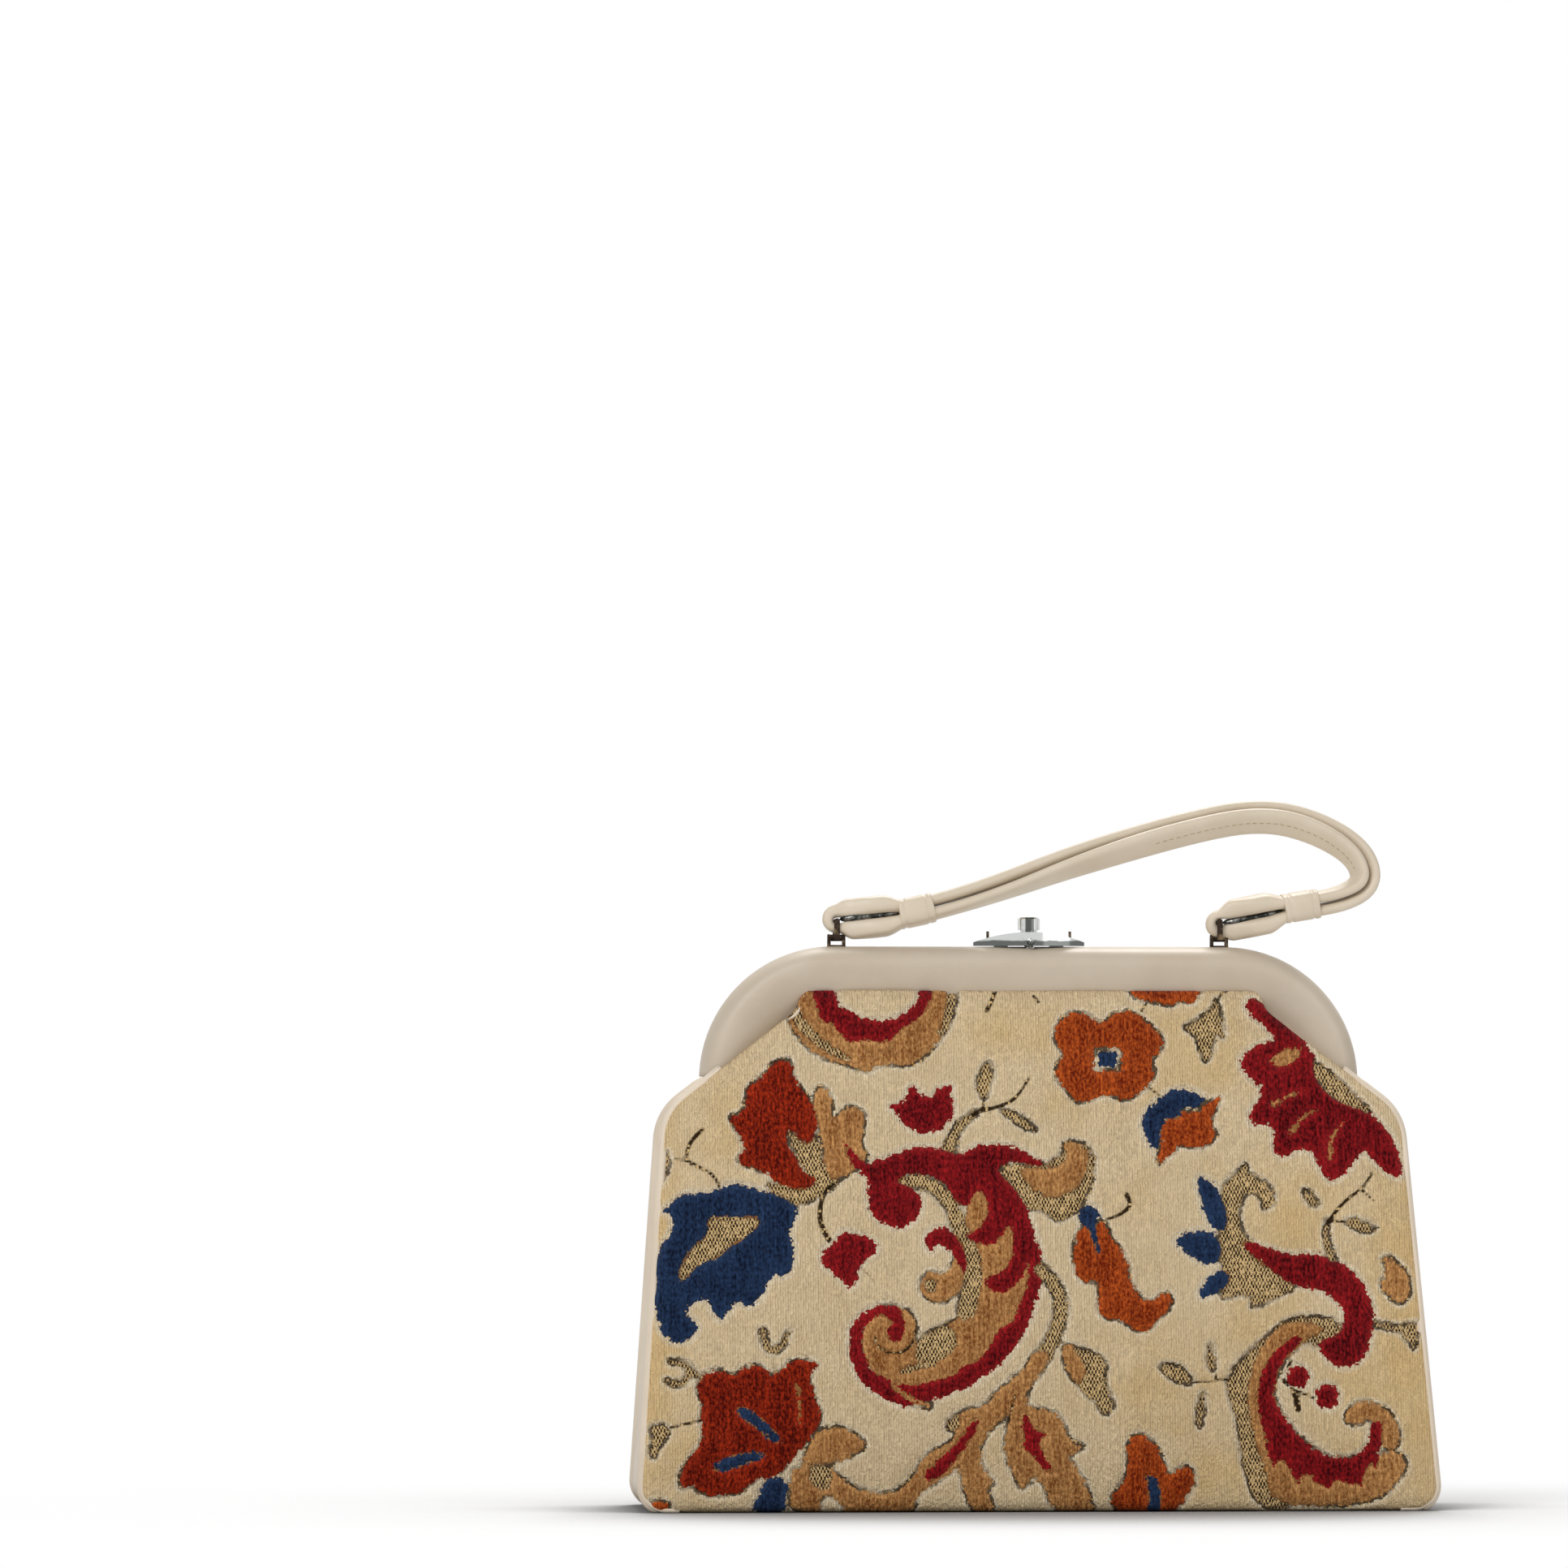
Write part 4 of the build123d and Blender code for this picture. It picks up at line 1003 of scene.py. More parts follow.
@dataclass(frozen=True)
class Pattern:
    """The carpet's drawing, which gives each point of a panel its distance to every dye.

    The drawing has units of its own, from its middle and its foot; across and up are millimetres to a unit.
    """

    centre: float = 1284.0
    floor: float = 1865.0
    across: float = 285.0 / 991.0
    up: float = 185.5 / 652.0
    drift: float = 0.0125
    reach: float = 16.0

    def evaluate(self, x: np.ndarray, z: np.ndarray) -> dict[str, np.ndarray]:
        """Work out the drawing.

        Args:
            x: places across the panel in millimetres.
            z: heights in millimetres.

        Returns:
            Arrays by attribute name: distances in millimetres and the golden share.
        """
        px, py = self.centre + (x - self.drift * z) / self.across, self.floor - z / self.up
        away = {dye: np.full(x.shape, self.reach) for dye in Dye}
        body = np.full(x.shape, self.reach)
        for motif in MOTIFS:
            box = motif.outline()
            margin = self.reach + getattr(motif, "width", 0.0)
            low, high = box.min(0) - margin, box.max(0) + margin
            near = np.flatnonzero((px > low[0]) & (px < high[0]) & (py > low[1]) & (py < high[1]))
            if not near.size:
                continue
            distance = motif.distance(px[near], py[near])
            # Each motif but a thin line cuts into those below it
            if motif.dye is Dye.GROUND:
                body[near] = np.maximum(body[near], -distance)
            elif motif.dye is not Dye.LINE:
                body[near] = np.minimum(body[near], distance)
            for dye, field in away.items():
                if dye is motif.dye:
                    field[near] = np.minimum(field[near], distance)
                elif motif.dye is not Dye.LINE:
                    field[near] = np.maximum(field[near], -distance)
        result = {dye.value: field * self.across for dye, field in away.items() if dye is not Dye.GROUND}
        result["body"] = body * self.across
        for key, dyes in (("motif", (*DEEP_DYES, Dye.TAN, Dye.HATCH)), ("edged", EDGED_DYES)):
            result[key] = np.min([away[dye] for dye in dyes], axis=0) * self.across
        gold = np.zeros(x.shape)
        for cx, cy, rx, ry, strength in GOLD_PATCHES:
            gold = np.maximum(gold, strength * np.exp(-(((px - cx) / rx) ** 2) - ((py - cy) / ry) ** 2))
        result["gold"] = gold
        return result


def grid_form(columns: int, rows: int, place: Place, weld: bool = False) -> bmesh.types.BMesh:
    """Bend a flat grid into a form.

    Args:
        columns, rows: the grid's cells.
        place: the place in millimetres of each point, from its shares across and along.
        weld: whether edges that meet are joined and open ends are filled.

    Returns:
        The form, in metres.
    """
    form = bmesh.new()
    bmesh.ops.create_grid(form, x_segments=columns, y_segments=rows, size=0.5)
    flat = np.array([vert.co[:2] for vert in form.verts]) + 0.5
    for vert, point in zip(form.verts, place(flat[:, 0], flat[:, 1]) * MM):
        vert.co = point
    if weld:
        bmesh.ops.remove_doubles(form, verts=form.verts[:], dist=WELD)
        bmesh.ops.holes_fill(form, edges=form.edges[:], sides=0)
    bmesh.ops.recalc_face_normals(form, faces=form.faces[:])
    return form


def thicken(form: bmesh.types.BMesh, thickness: float) -> None:
    """Give an outer sheet its thickness, on the side towards the bag's middle.

    Args:
        form: the sheet, in metres.
        thickness: its thickness in millimetres.
    """
    form.normal_update()
    if sum(face.normal.dot(face.calc_center_median() - BAG_MIDDLE) * face.calc_area() for face in form.faces) < 0:
        bmesh.ops.reverse_faces(form, faces=form.faces[:])
    bmesh.ops.solidify(form, geom=form.faces[:], thickness=thickness * MM)
    bmesh.ops.recalc_face_normals(form, faces=form.faces[:])


def make_piece(form: bmesh.types.BMesh, name: str, material: bpy.types.Material) -> bpy.types.Object:
    """Turn a form into a smooth piece with its finish.

    Args:
        form: the finished form, which is freed.
        name: the piece's name.
        material: its finish.

    Returns:
        The piece, at the origin.
    """
    mesh = bpy.data.meshes.new(name)
    form.to_mesh(mesh)
    form.free()
    mesh.shade_smooth()
    mesh.materials.append(material)
    piece = bpy.data.objects.new(name, mesh)
    bpy.context.scene.collection.objects.link(piece)
    LOG.info("%s: %d faces", name, len(mesh.polygons))
    return piece


def follow(piece: bpy.types.Object, face: Face) -> None:
    """Let a piece go with its carpet face: the front one keeps its baked place, the back one is held by the bag.

    Args:
        piece: the piece.
        face: the carpet face beside it.
    """
    if face is Face.FRONT:
        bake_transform(piece)
    else:
        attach(piece, "bag")


@dataclass(frozen=True)
class Outline:
    """The body's outline seen from the front, right half, from the middle of the base to the mouth."""

    base_half: float = 142.5
    base_corner: float = 9.0
    shoulder: Pair = (132.2, 141.2)
    shoulder_round: float = 20.0
    neck: Pair = (84.5, 178.0)
    neck_round: float = 8.0
    mouth: Pair = (82.0, 185.5)
    lean: float = math.atan2(29.5, 185.5)
    foot: float = 40.0
    arc_points: int = 25
    points: int = 1200

    def line(self) -> np.ndarray:
        """Draw the outline, with each corner an arc.

        Returns:
            Points along it.
        """
        corners = [(0.0, 0.0), (self.base_half, 0.0), self.shoulder, self.neck, self.mouth]
        points = [np.array(corners[0])]
        for index, radius in ((1, self.base_corner), (2, self.shoulder_round), (3, self.neck_round)):
            before, corner, after = (np.array(c) for c in corners[index - 1:index + 2])
            start, end = unit(before - corner), unit(after - corner)
            half = math.acos(float(start @ end)) / 2
            centre = corner + unit(start + end) * radius / math.sin(half)
            first, last = corner + start * radius / math.tan(half), corner + end * radius / math.tan(half)
            angles = [math.atan2(*(p - centre)[::-1]) for p in (first, last)]
            turn = (angles[1] - angles[0] + math.pi) % math.tau - math.pi
            steps = angles[0] + turn * np.linspace(0, 1, self.arc_points)
            points.extend(centre + radius * np.stack((np.cos(steps), np.sin(steps)), axis=1))
        points.append(np.array(corners[-1]))
        return np.array(points)

    def run(self, start: float, top: float) -> Path:
        """Walk along the outline.

        Args:
            start: the length along the outline where the walk begins.
            top: the height where it ends.

        Returns:
            The path.
        """
        points = spaced(self.line(), self.points, start)
        return Path.through(points[: np.searchsorted(points[:, 1], top) + 1])

    def half_width(self, z: np.ndarray) -> np.ndarray:
        """Return the half width at each height."""
        line = self.line()[1:]
        return np.interp(z, line[:, 1], line[:, 0])

    def depth(self, z: np.ndarray) -> np.ndarray:
        """Return how far a panel's outer face stands from the middle at each height."""
        return self.foot - z * math.tan(self.lean)


FRONT_OUTLINE = Outline()
BACK_OUTLINE = Outline(base_half=140.5)


@dataclass
class CarpetPanel:
    """A carpet face: a crowned sheet with rolled edges and pile of several heights."""

    face: Face
    outline: Outline = FRONT_OUTLINE
    pattern: Pattern = Pattern()
    cells: tuple[int, int] = (252, 172)
    thickness: float = 3.5
    edge_round: float = 4.6
    crown: float = 2.4
    pile: float = 1.5
    top: float = 184.8
    belly_top: float = 172.0
    tuck: float = 2.6
    tuck_start: float = 181.0
    floor_gap: float = 0.05

    def shape(self, x: np.ndarray, z: np.ndarray) -> np.ndarray:
        """Return how far the smooth sheet stands out from its plane.

        Args:
            x: places across in millimetres.
            z: heights in millimetres.

        Returns:
            The distance along the outward normal.
        """
        # Rolled edge, full belly, loose folds, wavy hem and the tuck under the frame
        half = self.outline.half_width(z)
        step = 0.4
        above, below = self.outline.half_width(z + step), self.outline.half_width(np.maximum(z - step, 0))
        slope = np.abs(above - below) / (2 * step)
        edge = np.minimum((half - np.abs(x)) / np.sqrt(1 + slope**2), z)
        gap = np.clip(self.edge_round - edge, 0, self.edge_round)
        rolled = self.edge_round - np.sqrt(np.maximum(self.edge_round**2 - gap**2, 0))
        belly = np.cos(np.clip(x / half, -1, 1) * math.pi / 2)
        belly = belly * np.sin(np.clip(z / self.belly_top, 0, 1) * math.pi) ** 0.7
        slack = 0.5 * np.sin(x / 23 + 1.3) * np.sin(z / 17 + x / 61) + 0.35 * np.sin(x / 11 - z / 29)
        hem = np.exp(-(((z - 7) / 6) ** 2)) * 0.4 * np.sin(x / 9)
        tuck = self.tuck * smooth(self.tuck_start, self.top, z)
        return self.crown * belly + (slack + hem) * smooth(0, 18, edge) - rolled * 0.85 - tuck

    def place(self, u: np.ndarray, v: np.ndarray) -> np.ndarray:
        """Lay out the smooth sheet.

        Args:
            u: shares across the panel.
            v: shares up it.

        Returns:
            Its points in millimetres.
        """
        z = v * self.top
        x = (2 * u - 1) * self.outline.half_width(z)
        lean, sign = self.outline.lean, self.face.value
        out = self.shape(x, z)
        y = sign * (self.outline.depth(z) + out * math.cos(lean))
        return np.stack((x, y, z + out * math.sin(lean)), axis=1)

    def relief(self, fields: dict[str, np.ndarray]) -> np.ndarray:
        """Work out the pile's height.

        Args:
            fields: the drawing's distances by attribute name.

        Returns:
            The height above the smooth sheet.
        """
        pile = smooth(-0.5, 1.1, fields["hatch"]) * self.pile
        groove = 0.6 * np.exp(-((fields["motif"] / 0.9) ** 2)) + 0.5 * smooth(0.8, -0.2, fields["line"])
        dyed = np.min([fields[dye.value] for dye in DEEP_DYES], axis=0)
        swell = 0.45 * smooth(0.2, -2.6, dyed) + 0.25 * smooth(0.3, 2.4, fields["motif"])
        return pile - groove + swell - self.pile / 2

    def build(self, material: bpy.types.Material) -> bpy.types.Object:
        """Build the panel as one closed sheet.

        Args:
            material: the carpet's finish.

        Returns:
            The piece.
        """
        form = grid_form(*self.cells, self.place)
        count = len(form.verts)
        thicken(form, self.thickness)
        piece = make_piece(form, f"carpet_{self.face.name}".lower(), material)
        mesh = piece.data
        flat = np.empty(len(mesh.vertices) * 3)
        mesh.vertices.foreach_get("co", flat)
        points = flat.reshape(-1, 3) / MM
        sign, lean = self.face.value, self.outline.lean
        x, z = points[:, 0], points[:, 2]
        plane = (sign * points[:, 1] - self.outline.foot) * math.cos(lean) + z * math.sin(lean)
        foot = z - plane * math.sin(lean)
        outer = np.arange(len(points)) < count
        fields = self.pattern.evaluate(x * -sign, np.clip(foot, 0, self.top))
        lift = np.where(outer, self.relief(fields), 0)
        points[:, 1] += sign * lift * math.cos(lean)
        points[:, 2] = np.maximum(z + lift * math.sin(lean), self.floor_gap)
        mesh.vertices.foreach_set("co", (points * MM).ravel())
        fields["inside"] = np.where(outer, 0.0, 1.0)
        for key, values in fields.items():
            mesh.attributes.new(key, "FLOAT", "POINT").data.foreach_set("value", values.astype(np.float32))
        mesh.update()
        self.dress(piece)
        return piece

    def dress(self, piece: bpy.types.Object) -> None:
        """Say which solids the panel stands in for and how it moves.

        Args:
            piece: the built panel.
        """
        dyes = ("crimson", "navy", "orange", "tan")
        if self.face is Face.FRONT:
            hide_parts("front_panel", "front_fold", "mouth_panel", *(f"pile_{d}" for d in dyes))
            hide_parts(*(f"fold_pile_{d}" for d in dyes), *(f"mouth_pile_{d}" for d in dyes if d != "navy"))
        else:
            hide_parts("back_panel", *(f"back_pile_{d}" for d in dyes))
        follow(piece, self.face)
        self.flat_area()

    def flat_area(self) -> float:
        """Return the cut sheet's area in square metres."""
        z = np.linspace(0, self.top, 400)
        return float(2 * self.outline.half_width(z).mean() * self.top / math.cos(self.outline.lean)) * MM * MM


@dataclass
class Gusset:
    """A side of the leather strip between the two carpet faces, folded inwards towards its top."""

    side: Side
    outline: Outline = FRONT_OUTLINE
    rear: Outline = BACK_OUTLINE
    thickness: float = 1.4
    welt: float = 1.1
    welt_place: float = 2.4
    welt_width: float = 2.2
    fold: float = 8.0
    fold_inset: float = 4.5
    shorter: float = 0.045
    seam_inset: float = 0.5
    start: float = 128.0
    top: float = 157.0
    floor_gap: float = 0.2
    cells: tuple[int, int] = (48, 120)

    def place(self, u: np.ndarray, v: np.ndarray) -> np.ndarray:
        """Lay out the strip.

        Args:
            u: shares across it.
            v: shares along it.

        Returns:
            Its points in millimetres.
        """
        reach = 2 * u - 1
        shorter = self.shorter * (1 - smooth(0.5, 0.68, np.abs(reach)))
        at, out = self.outline.run(self.start, self.top).at(v * (1 - shorter))
        z = at[:, 1]
        depth = self.outline.depth(z) - self.seam_inset
        y = np.sign(reach) * (1 - (1 - np.abs(reach)) ** 1.35) * depth
        from_seam = depth - np.abs(y)
        welt = self.welt * np.exp(-(((from_seam - self.welt_place) / self.welt_width) ** 2))
        fold = (smooth(20, 130, z) * self.fold + 1.0) * (1 - 0.75 * smooth(134, 150, z))
        hollow = fold * np.cos(np.clip(y / np.maximum(depth - self.fold_inset, 1), -1, 1) * math.pi / 2) ** 1.2
        wrinkle = 0.3 * np.sin(z / 7 + y / 5) * smooth(60, 140, z)
        offset = (welt - hollow * smooth(4, 30, z) + wrinkle) * smooth(0, 8, z) - 0.2
        narrow = (self.outline.half_width(z) - self.rear.half_width(z)) * (reach + 1) / 2
        x = (at[:, 0] + out[:, 0] * offset - narrow) * self.side.value
        return np.stack((x, y, np.maximum(z + out[:, 1] * offset, self.floor_gap)), axis=1)

    def build(self, material: bpy.types.Material) -> bpy.types.Object:
        """Build the gusset as a closed sheet, with its placing baked in.

        Args:
            material: the leather.

        Returns:
            The piece.
        """
        name = self.side.name.lower()
        form = grid_form(*self.cells, self.place)
        thicken(form, self.thickness)
        piece = make_piece(form, f"gusset_leather_{name}", material)
        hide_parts(f"gusset_{name}", f"gusset_fold_{name}")
        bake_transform(piece)
        return piece


@dataclass
class Welt:
    """The rolled leather edge along the seam of a carpet face and a gusset."""

    side: Side
    face: Face
    outline: Outline = FRONT_OUTLINE
    radius: float = 1.7
    inset: float = 2.3
    start: float = 136.0
    top: float = 159.0
    floor_gap: float = 0.2
    cells: tuple[int, int] = (12, 130)

    def place(self, u: np.ndarray, v: np.ndarray) -> np.ndarray:
        """Lay out the roll.

        Args:
            u: shares round it.
            v: shares along it.

        Returns:
            Its points in millimetres.
        """
        at, out = self.outline.run(self.start, self.top).at(v)
        z = at[:, 1]
        ending = smooth(151, 158, z)
        angle = math.tau * u
        radius = self.radius * (1 - 0.55 * ending)
        lift = -0.6 - 0.9 * ending + radius * np.cos(angle)
        y = self.outline.depth(z) - self.inset + radius * np.sin(angle)
        flat = at + out * lift[:, None]
        height = np.maximum(flat[:, 1], self.floor_gap)
        return np.stack((flat[:, 0] * self.side.value, y * self.face.value, height), axis=1)

    def build(self, material: bpy.types.Material) -> bpy.types.Object:
        """Build the roll.

        Args:
            material: the leather.

        Returns:
            The piece.
        """
        name = f"welt_{self.face.name}_{self.side.name}".lower()
        piece = make_piece(grid_form(*self.cells, self.place, weld=True), name, material)
        follow(piece, self.face)
        return piece


@dataclass
class Cheek:
    """The leather that closes the bag between a carpet face's slanting edge and the frame."""

    side: Side
    face: Face
    outline: Outline = FRONT_OUTLINE
    inset: float = 1.1
    seam_inset: float = 1.6
    start: float = 128.0
    foot: float = 149.0
    top: float = 183.0
    thickness: float = 1.0
    cells: tuple[int, int] = (10, 40)

    def path(self) -> Path:
        """Find the slanting edge.

        Returns:
            The path along it.
        """
        whole = self.outline.run(self.start, self.top)
        keep = whole.points[:, 1] >= self.foot
        return Path(whole.points[keep], whole.outward[keep])

    def reach(self, z: np.ndarray) -> tuple[np.ndarray, np.ndarray]:
        """Return how far from the middle the leather begins and ends at each height."""
        return 0.6 + 4.4 * smooth(154, 161, z), self.outline.depth(z) - self.seam_inset

    def place(self, u: np.ndarray, v: np.ndarray) -> np.ndarray:
        """Lay out the leather.

        Args:
            u: shares across it.
            v: shares along it.

        Returns:
            Its points in millimetres.
        """
        at, out = self.path().at(v)
        at = at - out * self.inset
        y = mixed(self.reach(at[:, 1]), u)
        return np.stack((at[:, 0] * self.side.value, y * self.face.value, at[:, 1]), axis=1)

    def build(self, material: bpy.types.Material) -> bpy.types.Object:
        """Build the cheek as a closed sheet that goes with its carpet face.

        Args:
            material: the leather.

        Returns:
            The piece.
        """
        form = grid_form(*self.cells, self.place)
        area = sum(face.calc_area() for face in form.faces)
        thicken(form, self.thickness)
        piece = make_piece(form, f"cheek_{self.face.name}_{self.side.name}".lower(), material)
        follow(piece, self.face)
        return piece


@dataclass
class FrameHalf:
    """The leather over one half of the frame: a rolled band along the arch, hollow towards its inner edge."""

    face: Face
    half_width: float = 118.4
    top: float = 200.5
    corner: float = 47.9
    leg_end: float = 154.0
    bulge: float = 10.5
    seam: float = 0.25
    roll: float = 7.0
    band: tuple[float, float] = (17.4, 22.0)
    hollow: tuple[float, float] = (3.2, 7.4)
    inner_round: float = 1.0
    shares: tuple[float, float, float] = (0.4, 0.76, 0.82)
    points: int = 801
    cells: tuple[int, int] = (50, 170)

    def arch(self) -> Path:
        """Draw the frame's outer edge.

        Returns:
            The path from the left leg's end to the right one's.
        """
        reach, foot = self.half_width - self.corner, self.top - self.corner
        low = math.asin((self.leg_end - foot) / self.corner)
        turn = np.linspace(low, math.pi / 2, 80)
        out = np.stack((np.cos(turn), np.sin(turn)), axis=1)
        flip = np.array((-1.0, 1.0))
        outward = np.vstack((out * flip, out[::-1]))
        points = np.vstack((out * flip * self.corner - (reach, -foot), out[::-1] * self.corner + (reach, foot)))
        marks = measured(points)
        places = np.linspace(0, marks[-1], self.points)
        return Path(between(places, marks, points), between(places, marks, outward))

    def place(self, u: np.ndarray, v: np.ndarray) -> np.ndarray:
        """Lay out the cover.

        Args:
            u: shares round its section: the roll, the face, the inner edge and the back.
            v: shares along the arch.

        Returns:
            Its points in millimetres.
        """
        at, out = self.arch().at(v)
        bent = smooth(0.05, 0.75, np.abs(out[:, 0]))
        band, hollow = mixed(self.band, bent), mixed(self.hollow, bent)
        rolled, faced, edged = self.shares
        turn = np.clip(u / rolled, 0, 1) * math.pi / 2
        front = np.clip((u - rolled) / (faced - rolled), 0, 1)
        edge = np.clip((u - faced) / (edged - faced), 0, 1)
        back = np.clip((u - edged) / (1 - edged), 0, 1)
        inward = self.roll * (1 - np.cos(turn) ** 0.87) + (band - self.roll) * front
        inward = (inward - self.inner_round * edge) * (1 - back)
        stand = self.seam + (self.bulge - self.seam) * np.sin(turn) ** 0.95 - hollow * front**1.5
        stand = stand + (self.seam - stand) * edge
        flat = at - out * inward[:, None]
        return np.stack((flat[:, 0], stand * self.face.value, flat[:, 1]), axis=1)

    def build(self, material: bpy.types.Material) -> bpy.types.Object:
        """Build the cover.

        Args:
            material: the leather.

        Returns:
            The piece.
        """
        piece = make_piece(grid_form(*self.cells, self.place, weld=True), f"{self.face.half}_frame_leather", material)
        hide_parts(self.face.cover)
        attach(piece, "front_frame" if self.face is Face.FRONT else "bag")
        return piece


@dataclass
class Base:
    """The leather strip's bottom run."""

    half_length: float = 133.0
    half_depth: float = 37.4
    height: float = 0.75
    sag: float = 0.5
    thickness: float = 1.6
    cells: tuple[int, int] = (90, 26)

    def place(self, u: np.ndarray, v: np.ndarray) -> np.ndarray:
        """Lay out the bottom.

        Args:
            u: shares along it.
            v: shares across it.

        Returns:
            Its points in millimetres.
        """
        x, y = (2 * u - 1) * self.half_length, (2 * v - 1) * self.half_depth
        sag = self.sag * np.cos(y / self.half_depth * math.pi / 2) * (1 + 0.3 * np.sin(x / 37))
        return np.stack((x, y, self.height - sag), axis=1)

    def build(self, leather: bpy.types.Material) -> bpy.types.Object:
        """Build the bottom.

        Args:
            leather: its finish.

        Returns:
            The piece.
        """
        form = grid_form(*self.cells, self.place)
        thicken(form, self.thickness)
        piece = make_piece(form, "base_leather", leather)
        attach(piece, "bag")
        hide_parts("base_panel")
        return piece


@dataclass
class Lining:
    """The cloth bag inside, open at its top, in loose folds."""

    outline: Outline = FRONT_OUTLINE
    inset: float = 4.4
    floor: float = 5.2
    top: float = 131.0
    thickness: float = 0.8
    floor_share: float = 0.25
    squareness: float = 0.16
    fold: float = 0.5
    cells: tuple[int, int] = (220, 48)

    def place(self, u: np.ndarray, v: np.ndarray) -> np.ndarray:
        """Lay out the cloth.

        Args:
            u: shares round it.
            v: shares up it, from the middle of its floor.

        Returns:
            Its points in millimetres.
        """
        wall = np.clip((v - self.floor_share) / (1 - self.floor_share), 0, 1)
        z = mixed((self.floor, self.top), wall)
        half = self.outline.half_width(z) - self.inset - 9.0 * smooth(20, 140, z)
        deep = self.outline.depth(z) - self.inset - 0.6
        angle = math.tau * u
        cos, sin = np.cos(angle), np.sin(angle)
        fold = (np.sin(angle * 23 + z / 31) + 0.6 * np.sin(angle * 37 - z / 19)) * self.fold * wall
        shrink = np.clip(v / self.floor_share, 0.02, 1)
        x = half * signed_power(cos, self.squareness) * shrink - fold * np.sign(cos) * 0.4
        y = deep * signed_power(sin, self.squareness) * shrink - (fold + 0.8 * wall) * np.sign(sin)
        return np.stack((x, y, z), axis=1)

    def build(self, cloth: bpy.types.Material) -> bpy.types.Object:
        """Build the lining.

        Args:
            cloth: its finish.

        Returns:
            The piece.
        """
        form = grid_form(*self.cells, self.place)
        bmesh.ops.remove_doubles(form, verts=form.verts[:], dist=WELD)
        floor = [edge for edge in form.edges if edge.is_boundary and edge.verts[0].co.z < 0.02]
        bmesh.ops.holes_fill(form, edges=floor, sides=0)
        thicken(form, self.thickness)
        piece = make_piece(form, "lining_cloth_bag", cloth)
        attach(piece, "bag")
        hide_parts("lining")
        return piece


